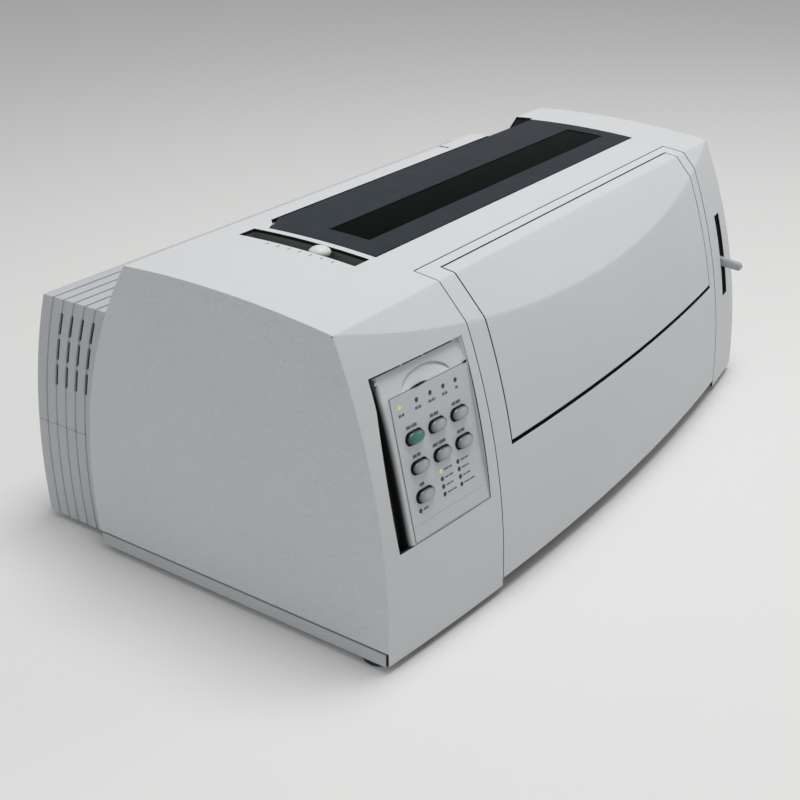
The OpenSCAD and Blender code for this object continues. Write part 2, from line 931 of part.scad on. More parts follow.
module thickness_lever() {
    x = (slot_x0 + slot_x1) / 2;
    half = (slot_x1 - slot_x0) / 2 - seam;
    color(ivory) at_foot() {
        translate([x, knob_y, top_z(knob_y) - knob_sink]) rotate([0, 90, 0])
            translate([0, 0, -half]) cylinder(h = 2 * half, r = knob_l / 2);
        block(x - half, x + half, knob_y - stem_t / 2, knob_y + stem_t / 2,
            crown_z - guide_h + seam, top_z(knob_y) - knob_sink);
    }
}

fork_y = 95;
fork_z = 134;
fork_hub_r = 8;
fork_t = 6;
fork_pin_r = 3;
fork_root = 6.5;
fork_tip = 3.4;
fork_tip_y = -10;
fork_tip_z = 121.5;

module paper_lever() {
    color(button_grey) at_foot() difference() {
        union() {
            along_x(fork_x - fork_t / 2, fork_x + fork_t / 2)
                polygon([[fork_y, fork_z + fork_root], [fork_tip_y, fork_tip_z + fork_tip],
                    [fork_tip_y - fork_tip / 2, fork_tip_z],
                    [fork_tip_y, fork_tip_z - fork_tip], [fork_y, fork_z - fork_root]]);
            rod(fork_x - fork_t / 2, fork_x + fork_t / 2, fork_y, fork_z, fork_hub_r);
        }
        rod(0, case_w, fork_y, fork_z, fork_pin_r + run);
    }
}

module paper_lever_pivot() {
    color(steel) at_foot() {
        rod(frame_x1 + frame_t, fork_x + fork_t / 2 + 1, fork_y, fork_z, fork_pin_r);
        rod(frame_x1 + frame_t, fork_x - fork_t / 2 - seam, fork_y, fork_z, fork_pin_r + 2);
    }
}

frame_y1 = rear_y0 - 4;
gear_w = 6;
gear_x = frame_x0 - 4;
gear_r = gear_m * gear_n / 2;
pinion_r = gear_m * pinion_n / 2;
mesh_turn = 45;
feed_y = platen_y - (gear_r + pinion_r) * sin(mesh_turn);
feed_z = platen_z - (gear_r + pinion_r) * cos(mesh_turn);
motor_r = 20;
pillar_l = 16;
pillar_r = 3;
pillar_p = 24;
belt_y = 78;
belt_z = 152;
belt_w = 6;
belt_t = 1.4;
pulley_r = 8;
pulley_over = 0.5;
idler_x = frame_x0 + 14;
drive_x = frame_x1 - 25;
carriage_motor_l = 28;
tab_y = 72;
tab_t = 2;
idler_tab = 13;
motor_tab = 22;
stud_r = 2;

frame_y0 = 46;
nose_out = 10;

// Side view of a mechanism frame
module frame_outline() {
    floor_z = pan_z0 + pan_t;
    difference() {
        polygon([[frame_y0, floor_z], [frame_y1, floor_z], [frame_y1, guide_z1 - guide_t - seam],
            [guide_y0, guide_z0 - guide_t - seam], [platen_y - 58, platen_z + 22],
            [frame_y0 + 14, platen_z + 10], [frame_y0, tractor_z + 28],
            [tractor_y - nose_out, tractor_z + 14], [tractor_y - nose_out, tractor_z - 12],
            [frame_y0, tractor_z - 26]]);
        translate([platen_y, platen_z]) circle(r = shaft_r + run);
        translate([tractor_y, tractor_z]) circle(r = rod_r + run);
    }
}

rod_r = 4;

module left_frame() {
    color(steel) at_foot() {
        along_x(frame_x0, frame_x0 + frame_t) frame_outline();
        for (s = [-1, 1])
            rod(frame_x0 - pillar_l, frame_x0 + eps, feed_y + s * pillar_p * sin(mesh_turn),
                feed_z - s * pillar_p * cos(mesh_turn), pillar_r);
        block(frame_x0 + frame_t - eps, idler_x + idler_tab, tab_y, tab_y + tab_t,
            belt_z - idler_tab, belt_z + idler_tab);
        translate([idler_x, tab_y + tab_t - eps, belt_z]) rotate([-90, 0, 0])
            cylinder(h = belt_y + belt_w / 2 + 1 - tab_y - tab_t, r = stud_r);
    }
}

module right_frame() {
    color(steel) at_foot() {
        along_x(frame_x1, frame_x1 + frame_t) frame_outline();
        difference() {
            block(drive_x - motor_tab, frame_x1 + eps, tab_y, tab_y + tab_t,
                belt_z - motor_tab, belt_z + motor_tab);
            translate([drive_x, tab_y - 1, belt_z]) rotate([-90, 0, 0])
                cylinder(h = tab_t + 2, r = stud_r + 1);
        }
    }
}

platen_gap = 6;

module platen() {
    color(rubber) at_foot() difference() {
        rod(frame_x0 + frame_t + platen_gap, frame_x1 - platen_gap, platen_y, platen_z, platen_r);
        rod(frame_x0, frame_x1, platen_y, platen_z, shaft_r);
    }
}

knob_r = 16.5;
knob_in = 10;
knob_w = 27;
knob_x1 = case_w / 2 - knob_in;
knob_x0 = knob_x1 - knob_w;
knob_cap = 4;
knob_flutes = 18;
flute_in = 3;
flute_out = 0.6;
flute_r = 1.4;

module platen_shaft() {
    color(steel) at_foot()
        rod(gear_x - gear_w, knob_x1 - knob_cap, platen_y, platen_z, shaft_r);
}

module platen_knob() {
    color(charcoal) at_foot() difference() {
        rod(knob_x0, knob_x1, platen_y, platen_z, knob_r);
        rod(knob_x0 - 1, knob_x1 - knob_cap, platen_y, platen_z, shaft_r);
        for (i = [0:knob_flutes - 1])
            translate([0, platen_y, platen_z]) rotate([i * 360 / knob_flutes, 0, 0])
                rod(knob_x0 + flute_in, knob_x1 + 1, 0, knob_r + flute_out, flute_r);
    }
}

// Corners of a tooth: along the pitch circle in teeth, and outwards in modules
tooth = [[-0.29, -1.25], [-0.15, 0.9], [0.15, 0.9], [0.29, -1.25]];

// A spur gear's outline with straight-sided teeth, the first one at the angle turn
module gear_outline(n, m, turn = 0) {
    step = 360 / n;
    polygon([for (i = [0:n - 1], p = tooth)
        let (r = m * (n / 2 + p[1]), a = turn + (i + p[0]) * step)
            [r * cos(a), r * sin(a)]]);
}

module platen_gear() {
    color(ivory) at_foot() translate([gear_x - gear_w, platen_y, platen_z])
        rotate([90, 0, 90]) linear_extrude(gear_w) difference() {
            gear_outline(gear_n, gear_m, 180 + mesh_turn);
            circle(r = shaft_r);
        }
}

module feed_pinion() {
    color(ivory) at_foot() translate([gear_x - gear_w, feed_y, feed_z])
        rotate([90, 0, 90]) linear_extrude(gear_w) difference() {
            gear_outline(pinion_n, gear_m, mesh_turn + 180 / pinion_n);
            circle(r = stud_r);
        }
    color(steel) at_foot() rod(frame_x0 - pillar_l + 1, gear_x, feed_y, feed_z, stud_r);
}

feed_motor_l = 38;
feed_motor_r = 25;
boss_d = 6;

module feed_motor() {
    color(charcoal) at_foot() difference() {
        rod(frame_x0 - pillar_l - feed_motor_l, frame_x0 - pillar_l, feed_y, feed_z,
            feed_motor_r);
        for (s = [-1, 1])
            translate([0, feed_y, feed_z]) rotate([mesh_turn * s + 90, 0, 0])
                block(-case_w, 0, motor_r, 2 * motor_r, -2 * motor_r, 2 * motor_r);
        rod(frame_x0 - pillar_l - boss_d, frame_x0, feed_y, feed_z, stud_r + 2);
    }
}

module carriage_shaft() {
    color(steel) at_foot() rod(frame_x0 + frame_t, frame_x1, rail_y, rail_z, rail_r);
}

carriage_y0 = belt_y + belt_w / 2 + 3;
carriage_y1 = rail_y + 22;
carriage_z0 = rail_z - 9;
carriage_z1 = rail_z + 14;
slide_gap = 0.3;
front_rail_w = 6;
front_rail_h = 7;
clamp_w = 16;
clamp_in = 3;
clamp_h = 7;

module front_rail() {
    color(steel) at_foot()
        block(frame_x0 + frame_t, frame_x1, carriage_y0 + front_rail_w / 2,
            carriage_y0 + 1.5 * front_rail_w, carriage_z0 - front_rail_h, carriage_z0 - slide_gap);
}

module carriage() {
    x0 = carriage_x - carriage_w / 2;
    x1 = carriage_x + carriage_w / 2;
    color(charcoal) at_foot() difference() {
        union() {
            block(x0, x1, carriage_y0, carriage_y1, carriage_z0, carriage_z1);
            block(carriage_x - clamp_w / 2, carriage_x + clamp_w / 2,
                belt_y + belt_w / 2 + slide_gap, carriage_y0 + eps,
                belt_z + pulley_r - clamp_in, belt_z + pulley_r - clamp_in + clamp_h);
        }
        rod(x0 - 1, x1 + 1, rail_y, rail_z, rail_r + run);
    }
}

head_gap = 0.8;
head_y1 = platen_y - platen_r - head_gap;
head_w = 34;
head_d = 32;
head_h = 30;
nose_l = 8;
nose_w = 14;
nose_h = 12;
fin_count = 6;
fin_p = 4.4;
fin_t = 2;
fin_d = 16;

module print_head() {
    color(black) at_foot() {
        difference() {
            block(carriage_x - head_w / 2, carriage_x + head_w / 2, head_y1 - nose_l - head_d,
                head_y1 - nose_l, carriage_z1, carriage_z1 + head_h);
            for (i = [0:fin_count - 1])
                block(carriage_x - head_w, carriage_x + head_w, head_y1 - nose_l - head_d - 1,
                    head_y1 - nose_l - head_d + fin_d, carriage_z1 + 2 * fin_t + i * fin_p,
                    carriage_z1 + 3 * fin_t + i * fin_p);
        }
        block(carriage_x - nose_w / 2, carriage_x + nose_w / 2, head_y1 - nose_l - eps,
            head_y1, platen_z - nose_h / 2, platen_z + nose_h / 2);
    }
}

ribbon_z0 = carriage_z1 + head_h;
ribbon_d = 46;
ribbon_h = 14;
ribbon_back = nose_l;
arm_x = 22;
arm_w = 10;
arm_d = 12.5;
ribbon_t = 0.3;
ribbon_gap = 0.2;
ribbon_l = 40;

module ribbon_cartridge() {
    w = carriage_w / 2;
    y1 = head_y1 - ribbon_back;
    ribbon_y1 = head_y1 + ribbon_gap + ribbon_t;
    color(charcoal) at_foot() {
        block(carriage_x - w, carriage_x + w, y1 - ribbon_d, y1, ribbon_z0, ribbon_z0 + ribbon_h);
        for (s = [-1, 1])
            block(carriage_x + s * arm_x - arm_w / 2, carriage_x + s * arm_x + arm_w / 2,
                ribbon_y1 - arm_d, ribbon_y1, platen_z - nose_h / 2, ribbon_z0 + 2);
        block(carriage_x - ribbon_l / 2, carriage_x + ribbon_l / 2, ribbon_y1 - ribbon_t,
            ribbon_y1, platen_z - nose_h / 2 + 1, platen_z + nose_h / 2);
    }
}

// The outline of a belt round both pulleys, at a distance from their surface
module belt_outline(grow) {
    r = pulley_r + grow;
    for (x = [idler_x, drive_x]) translate([x, belt_z]) circle(r = r);
    translate([idler_x, belt_z - r]) square([drive_x - idler_x, 2 * r]);
}

module drive_belt() {
    color(black) at_foot() translate([0, belt_y + belt_w / 2, 0]) rotate([90, 0, 0])
        linear_extrude(belt_w) difference() {
            belt_outline(2 * run + belt_t);
            belt_outline(2 * run);
        }
}

module pulley(x, bore_r) {
    translate([x, belt_y - belt_w / 2 - pulley_over, belt_z]) rotate([-90, 0, 0]) difference() {
        cylinder(h = belt_w + 2 * pulley_over, r = pulley_r);
        translate([0, 0, -1]) cylinder(h = belt_w + 3, r = bore_r);
    }
}

module idler_pulley() {
    color(ivory) at_foot() pulley(idler_x, stud_r + run);
}

module motor_pulley() {
    color(ivory) at_foot() {
        pulley(drive_x, stud_r);
        translate([drive_x, tab_y - 4, belt_z]) rotate([-90, 0, 0])
            cylinder(h = belt_y - tab_y + 8, r = stud_r);
    }
}

module carriage_motor() {
    color(charcoal) at_foot() translate([drive_x, tab_y, belt_z]) rotate([90, 0, 0])
        difference() {
            cylinder(h = carriage_motor_l, r = motor_r);
            translate([0, 0, -1]) cylinder(h = 7, r = stud_r + 2);
        }
}

tractor_w = 28;
tractor_d = 52;
tractor_h = 22;
tractor_pins = 6;
pin_r = 1.3;
door_t = 2.4;
door_lift = 2.6;
door_r = 3;
door_out = 2;
ear_w = 4;
tractor_y0 = tractor_y + (tractor_p - tractor_d) / 2;
ear_ys = [tractor_y0 + ear_w, tractor_y0 + tractor_d - 2 * ear_w];

// A paper tractor, whose door hangs on the side given by s
module tractor(x, s) {
    z1 = tractor_z + tractor_h / 2;
    px = x + s * (tractor_w / 2 + door_out);
    y0 = tractor_y0;
    difference() {
        union() {
            block(x - tractor_w / 2, x + tractor_w / 2, y0, y0 + tractor_d,
                z1 - tractor_h, z1);
            for (y = ear_ys) {
                rod_y(px, y, y + ear_w, z1 + door_lift, door_r);
                block(min(x + s * (tractor_w / 2 - 1), px + s * door_r),
                    max(x + s * (tractor_w / 2 - 1), px + s * door_r),
                    y, y + ear_w, z1 - 2 * door_r, z1 + door_lift);
            }
            for (i = [0:tractor_pins - 1])
                translate([x, y0 + 8 + i * (tractor_d - 16) / (tractor_pins - 1), z1 - eps])
                    cylinder(h = 2, r = pin_r);
        }
        for (y = [tractor_y, tractor_y + tractor_p])
            rod(x - tractor_w, x + tractor_w, y, tractor_z, rod_r + run);
        rod_y(px, y0 - 1, y0 + tractor_d + 1, z1 + door_lift, pivot_r + run);
    }
}

module rod_y(x, y0, y1, z, r) {
    translate([x, y0, z]) rotate([-90, 0, 0]) cylinder(h = y1 - y0, r = r);
}

// The door that holds the paper on a tractor's pins
module tractor_door(x, s) {
    y0 = tractor_y0;
    z = tractor_z + tractor_h / 2 + door_lift;
    px = x + s * (tractor_w / 2 + door_out);
    xa = x - s * (tractor_w / 2 - 1);
    difference() {
        union() {
            block(min(xa, px), max(xa, px), y0 + 1, y0 + tractor_d - 1, z - door_t / 2,
                z + door_t / 2);
            rod_y(px, y0 + 1, y0 + tractor_d - 1, z, door_t / 2 + 0.6);
        }
        block(x - door_r, x + door_r, y0 + ear_w, y0 + tractor_d - ear_w, z - door_t, z + door_t);
        for (y = ear_ys) rod_y(px, y - seam, y + ear_w + seam, z, door_r + seam);
    }
    rod_y(px, y0 + 1, y0 + tractor_d - 1, z, pivot_r);
}

module left_tractor() { color(charcoal) at_foot() tractor(tractor_x0, 1); }
module right_tractor() { color(charcoal) at_foot() tractor(tractor_x1, -1); }
module left_tractor_door() { color(black) at_foot() tractor_door(tractor_x0, 1); }
module right_tractor_door() { color(black) at_foot() tractor_door(tractor_x1, -1); }

module tractor_shaft() {
    color(steel) at_foot()
        rod(frame_x0 - 3, frame_x1 + frame_t + 3, tractor_y, tractor_z, rod_r);
}

module tractor_rod() {
    color(steel) at_foot()
        rod(frame_x0 + frame_t, frame_x1, tractor_y + tractor_p, tractor_z, rod_r);
}

chute_t = 1.5;
chute_l = 84;
chute_line = [[platen_y - chute_l, platen_z - 62], [platen_y - chute_l / 2, platen_z - 58],
    [platen_y - 29, platen_z - 48], [platen_y - 22, platen_z - 22]];

// The unit vector to the left of the line from a to b
function left_of(a, b) = let (d = (b - a) / norm(b - a)) [-d[1], d[0]];

// A line beside path at distance t, mitred at its corners
function beside(path, t) = let (last = len(path) - 1) [for (i = [0:last])
    let (m = left_of(path[max(i - 1, 0)], path[max(i, 1)])
        + left_of(path[min(i, last - 1)], path[min(i + 1, last)]))
    path[i] + m * 2 * t / (m * m)];

module paper_guide() {
    upper = beside(chute_line, chute_t);
    color(steel) at_foot() along_x(frame_x0 + frame_t, frame_x1)
        polygon(concat(chute_line, [for (i = [len(upper) - 1:-1:0]) upper[i]]));
}

supply_back = 17;
supply_l = 148;
supply_y1 = rear_d - supply_back;
supply_y0 = supply_y1 - supply_l;
supply_h = 62;
louvre_count = 7;
louvre_p = 9;
louvre_w = 3;
louvre_l = 40;
switch_in = 8;
bracket_r = 5;

module power_supply() {
    z0 = pan_z0 + pan_t;
    color(steel) at_foot() {
        difference() {
            block(supply_x0, supply_x1, supply_y0, supply_y1, z0, z0 + supply_h);
            for (i = [0:louvre_count - 1])
                block(supply_x0 + louvre_p + i * louvre_p, supply_x0 + louvre_w
                    + louvre_p + i * louvre_p, supply_y0 + louvre_l / 2,
                    supply_y0 + 1.5 * louvre_l, z0 + supply_h - 2, z0 + supply_h + 1);
        }
        for (s = [-1, 1])
            difference() {
                block(switch_x + s * (switch_w / 2 + 1.5) - 1,
                    switch_x + s * (switch_w / 2 + 1.5) + 1, supply_y1 - eps,
                    rear_d - switch_in / 2, inlet_z - bracket_r, inlet_z + bracket_r);
                rod(-case_w, case_w, rear_d - switch_in, inlet_z, pivot_r + run);
            }
    }
}

switch_turn = 8;

module power_switch() {
    color(black) at_foot() translate([switch_x, rear_d - switch_in, inlet_z])
    rotate([switch_turn, 0, 0]) {
        block(-switch_w / 2, switch_w / 2, -3, 5.5, -switch_h / 2 + 1, switch_h / 2 - 1);
        rod(-switch_w / 2 - 2.5, switch_w / 2 + 2.5, 0, 0, pivot_r);
    }
}

inlet_recess = 12;
inlet_wall = 3;
inlet_pins = [[-7, -1.5], [0, 2], [7, -1.5]];
blade_t = 1;
blade_h = 4;

module power_inlet() {
    color(black) at_foot() {
        difference() {
            block(inlet_x - inlet_w / 2, inlet_x + inlet_w / 2, supply_y1, rear_d - 1,
                inlet_z - inlet_h / 2, inlet_z + inlet_h / 2);
            block(inlet_x - inlet_w / 2 + inlet_wall, inlet_x + inlet_w / 2 - inlet_wall,
                rear_d - 1 - inlet_recess, rear_d, inlet_z - inlet_h / 2 + inlet_wall,
                inlet_z + inlet_h / 2 - inlet_wall);
        }
        for (p = inlet_pins)
            block(inlet_x + p[0] - blade_t, inlet_x + p[0] + blade_t, supply_y1 + inlet_wall,
                rear_d - 2 * inlet_wall, inlet_z + p[1] - blade_h / 2,
                inlet_z + p[1] + blade_h / 2);
    }
}

board_l = 148;
board_back = 12;
board_z = 12;
post_in = 8;
post_r = 3;
chip_count = 5;
chip_p = 52;
chip_l = 30;
chip_w = 18;
chip_h = 4.4;
chip_y = 40;

module main_board() {
    y1 = rear_d - board_back;
    y0 = y1 - board_l;
    color(board_green) at_foot() {
        block(board_x0, board_x1, y0, y1, board_z, board_z + board_t);
        for (x = [board_x0 + post_in, board_x1 - post_in], y = [y0 + post_in, y1 - post_in])
            translate([x, y, pan_z0 + pan_t])
                cylinder(h = board_z - pan_z0 - pan_t + eps, r = post_r);
    }
    color(black) at_foot() for (i = [0:chip_count - 1])
        block(board_x0 + chip_l + i * chip_p, board_x0 + 2 * chip_l + i * chip_p,
            y0 + chip_y, y0 + chip_y + chip_w, board_z + board_t - eps, board_z + board_t + chip_h);
}

socket_d = 24;
socket_recess = 8;
rim_t = 3;
tongue_h = 4;

module interface_socket() {
    y0 = rear_d - socket_d;
    color(charcoal) at_foot() difference() {
        union() {
            block(socket_x - socket_w / 2, socket_x + socket_w / 2, y0, rear_d - 1,
                socket_z - socket_h / 2, socket_z + socket_h / 2);
            block(socket_x - socket_w / 2 + rim_t, socket_x + socket_w / 2 - rim_t, y0,
                y0 + socket_recess, board_z + board_t, socket_z);
        }
        difference() {
            block(socket_x - socket_w / 2 + rim_t, socket_x + socket_w / 2 - rim_t,
                rear_d - 1 - socket_recess, rear_d, socket_z - socket_h / 2 + rim_t,
                socket_z + socket_h / 2 - rim_t);
            block(socket_x - socket_w / 2 + 2 * rim_t, socket_x + socket_w / 2 - 2 * rim_t,
                rear_d - 1 - socket_recess, rear_d - rim_t, socket_z - tongue_h / 2,
                socket_z + tongue_h / 2);
        }
    }
}

base_pan();
feet();
left_side_panel();
right_side_panel();
top_shell();
left_column();
right_column();
front_cover();
cover_hinge_pins();
front_flap();
lid();
lid_window();
rear_cover();
rear_base_cover();
paper_exit_guide();
control_panel();
label_plate();
start_button();
line_feed_button();
form_feed_button();
tear_off_button();
load_button();
tractor_button();
font_button();
panel_lights();
panel_board();
thickness_lever();
lever_guide();
paper_lever();
paper_lever_pivot();
left_frame();
right_frame();
platen();
platen_shaft();
platen_knob();
platen_gear();
feed_motor();
feed_pinion();
carriage_shaft();
front_rail();
carriage();
print_head();
ribbon_cartridge();
drive_belt();
idler_pulley();
motor_pulley();
carriage_motor();
left_tractor();
right_tractor();
left_tractor_door();
right_tractor_door();
tractor_shaft();
tractor_rod();
paper_guide();
power_supply();
main_board();
power_inlet();
power_switch();
interface_socket();
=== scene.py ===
import math

import bmesh
import bpy
import numpy as np
from mathutils import Matrix, Vector


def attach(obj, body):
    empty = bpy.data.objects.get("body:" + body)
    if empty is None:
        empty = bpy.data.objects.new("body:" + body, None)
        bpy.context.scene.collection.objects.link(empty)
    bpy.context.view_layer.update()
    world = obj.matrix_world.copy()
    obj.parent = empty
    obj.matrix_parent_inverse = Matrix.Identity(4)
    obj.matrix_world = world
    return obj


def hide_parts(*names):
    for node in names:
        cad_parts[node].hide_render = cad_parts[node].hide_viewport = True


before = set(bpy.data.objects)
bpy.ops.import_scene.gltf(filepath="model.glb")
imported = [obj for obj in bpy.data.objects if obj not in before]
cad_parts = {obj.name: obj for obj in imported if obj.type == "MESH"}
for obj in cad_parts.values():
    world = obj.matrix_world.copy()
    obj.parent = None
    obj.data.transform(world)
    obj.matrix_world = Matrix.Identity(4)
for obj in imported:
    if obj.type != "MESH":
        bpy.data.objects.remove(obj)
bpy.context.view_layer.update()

print("frame loaded:", len(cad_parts), "nodes")

# The case's own surfaces, in millimetres: x to the right, y back from the front foot, z up from the
# floor
case = dict(width=598, bow=19.3, draft=2.2, creaseZ=232, frontRadius=539, frontUpright=16.5,
            topRadius=875, crownY=182, depth=282, rearRadius=322, rearWidest=61, facet=48.2,
            footShift=-167.85, columnZ=6, sideZ=16.4, wall=2.5, lipZ=228.8, arcGap=1.6,
            lastKnot=4)
slopeTan = math.tan(math.radians(case["draft"]))
bowX = case["width"] / 2 - case["creaseZ"] * slopeTan
bowRadius = (bowX ** 2 + case["bow"] ** 2) / (2 * case["bow"])
bowCentre = bowRadius - case["bow"]
creaseY = case["frontRadius"] - math.sqrt(
    case["frontRadius"] ** 2 - (case["creaseZ"] - case["frontUpright"]) ** 2)
topCentre = case["creaseZ"] - math.sqrt(
    case["topRadius"] ** 2 - (case["crownY"] - creaseY) ** 2)
facetTan = math.tan(math.radians(case["facet"]))
arcTopZ = case["creaseZ"] - case["arcGap"]  # the facet's arc ends this far up


def halfWidth(z):  # the side walls lean in from their foot up
    return case["width"] / 2 - np.maximum(z, case["sideZ"]) * slopeTan


def topZ(y, depth=0.0):  # arc of the top face
    return topCentre + np.sqrt((case["topRadius"] - depth) ** 2 - (y - case["crownY"]) ** 2)


def frontY(x, z, depth=0.0):  # bowed front: a ring whose radius follows the front arc
    radius = bowRadius - case["frontRadius"] + np.sqrt(
        (case["frontRadius"] - depth) ** 2 - (z - case["frontUpright"]) ** 2)
    return bowCentre - np.sqrt(radius ** 2 - x ** 2)


def backY(z, depth=0.0):  # arc of the back edge
    return case["depth"] - case["rearRadius"] + np.sqrt(
        (case["rearRadius"] - depth) ** 2 - (z - case["rearWidest"]) ** 2)


def arcZ(x):  # height at which the bowed front meets the flat facet
    z = np.full(np.shape(x), 205.0)
    for _ in range(12):
        z = case["creaseZ"] - (creaseY - frontY(x, z)) * facetTan
    return np.minimum(z, arcTopZ)


def rearCornerY():  # where the top arc meets the back arc
    y = 228.0
    for _ in range(20):
        y = float(backY(topZ(y)))
    return y


cornerY = rearCornerY()
cornerZ = float(topZ(cornerY))


def metres(x, y, z):  # case millimetres to the frame's metres
    x, y, z = np.broadcast_arrays(x, y, z)
    return np.stack([x, y + case["footShift"], z], -1).reshape(-1, 3) * 0.001


# Parameter values with counts[i] equal steps between knots i and i + 1
def knotLine(counts):
    return np.concatenate([k + np.arange(n) / n for k, n in enumerate(counts)]
                          + [[float(len(counts))]])


def along(t, knots):  # straight lines between knots
    return np.interp(t, np.arange(len(knots)), knots)


def spaced(knots, counts):  # values with counts[i] equal steps between knots i and i + 1
    return along(knotLine(counts), knots)


# Quads of a grid of rows by cols points, or those that keep names
def gridFaces(rows, cols, keep=None):
    i, j = np.meshgrid(np.arange(rows - 1), np.arange(cols - 1), indexing="ij")
    a = i * cols + j
    quads = np.stack([a, a + 1, a + cols + 1, a + cols], -1)
    return quads[keep] if keep is not None else quads.reshape(-1, 4)


# A patch is its points, its faces and its material's slot
def gridPatch(points, rows, cols, keep=None, slot=0):
    return [points, gridFaces(rows, cols, keep).tolist(), slot]


# One object from several patches, merged where they touch, faces turned away from centre
def buildPiece(name, patches, materials, body, replaces=(), centre=None,
               merge=2e-5):
    vertices, faces, slots, base = [], [], [], 0
    for points, quads, slot in patches:
        vertices.append(points)
        faces += [[v + base for v in q] for q in quads]
        slots += [slot] * len(quads)
        base += len(points)
    mesh = bpy.data.meshes.new(name)
    mesh.from_pydata(np.concatenate(vertices).tolist(), [], faces)
    for material in materials:
        mesh.materials.append(material)
    mesh.polygons.foreach_set("material_index", slots)
    mesh.polygons.foreach_set("use_smooth", [True] * len(faces))
    work = bmesh.new()
    work.from_mesh(mesh)
    bmesh.ops.remove_doubles(work, verts=work.verts, dist=merge)
    bmesh.ops.dissolve_degenerate(work, edges=work.edges, dist=1e-6)
    bmesh.ops.recalc_face_normals(work, faces=work.faces)
    if centre is not None:
        middle = Vector(metres(*centre)[0])
        turn = sum(f.calc_area() * (f.calc_center_median() - middle).dot(f.normal)
                   for f in work.faces)
        if turn < 0:
            bmesh.ops.reverse_faces(work, faces=work.faces)
    work.to_mesh(mesh)
    work.free()
    piece = bpy.data.objects.new(name, mesh)
    bpy.context.scene.collection.objects.link(piece)
    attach(piece, body)
    if replaces:
        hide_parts(*replaces)
    return piece


# Bevel weight on each fold sharper than 9 degrees; classes gives (test, weight) pairs
def weighEdges(piece, classes):
    work = bmesh.new()
    work.from_mesh(piece.data)
    layer = work.edges.layers.float.new("bevel_weight_edge")
    for edge in work.edges:
        if len(edge.link_faces) == 2 and edge.calc_face_angle(0) > math.radians(9):
            middle = (edge.verts[0].co + edge.verts[1].co) / 2
            x, y, z = middle.x * 1000, middle.y * 1000 - case["footShift"], middle.z * 1000
            for test, weight in classes:
                if test(x, y, z):
                    edge[layer] = weight
                    break
    work.to_mesh(piece.data)
    work.free()


# Rounds the weighted folds, gives the sheet its wall, then breaks its sharp edges
def finish(piece, soft=None, wall=None, edge=0.5, segments=2, angle=32, rim=0):
    if soft:
        mod = piece.modifiers.new("softFolds", "BEVEL")
        mod.limit_method, mod.width, mod.segments = "WEIGHT", soft * 0.001, 5
        mod.use_clamp_overlap = True
    if wall:
        mod = piece.modifiers.new("wall", "SOLIDIFY")
        mod.thickness, mod.offset, mod.use_even_offset = wall * 0.001, -1, True
        mod.use_quality_normals, mod.material_offset_rim = True, rim
    if edge:
        mod = piece.modifiers.new("edges", "BEVEL")
        mod.limit_method, mod.angle_limit = "ANGLE", math.radians(angle)
        mod.width, mod.segments, mod.harden_normals = edge * 0.001, segments, True
    return piece


# A node group with named inputs and outputs, and its two end nodes
def newGroup(name, inputs, outputs):
    group = bpy.data.node_groups.new(name, "ShaderNodeTree")
    for title, kind, value in inputs:
        socket = group.interface.new_socket(title, in_out="INPUT", socket_type=kind)
        if value is not None:
            socket.default_value = value
    for title, kind in outputs:
        group.interface.new_socket(title, in_out="OUTPUT", socket_type=kind)
    return group, group.nodes.new("NodeGroupInput"), group.nodes.new("NodeGroupOutput")


# One Math node; a and b are numbers or sockets
def mathNode(tree, kind, a, b=None, clamp=False):
    node = tree.nodes.new("ShaderNodeMath")
    node.operation, node.use_clamp = kind, clamp
    for k, value in enumerate((a, b)):
        if value is None:
            continue
        if isinstance(value, (int, float)):
            node.inputs[k].default_value = value
        else:
            tree.links.new(value, node.inputs[k])
    return node.outputs[0]


# Noise over a vector
def noiseNode(tree, vector, scale, detail=2.0, rough=0.5):
    node = tree.nodes.new("ShaderNodeTexNoise")
    node.inputs["Scale"].default_value = scale
    node.inputs["Detail"].default_value = detail
    node.inputs["Roughness"].default_value = rough
    tree.links.new(vector, node.inputs["Vector"])
    return node.outputs["Fac"]


# A smooth step from 0 at low to 1 at high
def rampNode(tree, value, low, high):
    node = tree.nodes.new("ShaderNodeMapRange")
    node.interpolation_type = "SMOOTHSTEP"
    node.inputs["From Min"].default_value = low
    node.inputs["From Max"].default_value = high
    tree.links.new(value, node.inputs["Value"])
    return node.outputs["Result"]


# Moulded grain: soft cells of one size with a finer noise over them
def makeGrainGroup():
    tree, start, end = newGroup("mouldedGrain", [("Vector", "NodeSocketVector", None),
                                                 ("Scale", "NodeSocketFloat", 700.0),
                                                 ("Fine", "NodeSocketFloat", 0.35)],
                                [("Height", "NodeSocketFloat")])
    cells = tree.nodes.new("ShaderNodeTexVoronoi")
    cells.feature = "SMOOTH_F1"
    cells.inputs["Smoothness"].default_value = 0.6
    tree.links.new(start.outputs["Vector"], cells.inputs["Vector"])
    tree.links.new(start.outputs["Scale"], cells.inputs["Scale"])
    fine = tree.nodes.new("ShaderNodeTexNoise")
    fine.inputs["Detail"].default_value = 2.0
    tree.links.new(start.outputs["Vector"], fine.inputs["Vector"])
    tree.links.new(mathNode(tree, "MULTIPLY", start.outputs["Scale"], 1.7), fine.inputs["Scale"])
    fineHeight = mathNode(tree, "MULTIPLY", fine.outputs["Fac"], start.outputs["Fine"])
    tree.links.new(mathNode(tree, "ADD", cells.outputs["Distance"], fineHeight), end.inputs["Height"])
    return tree


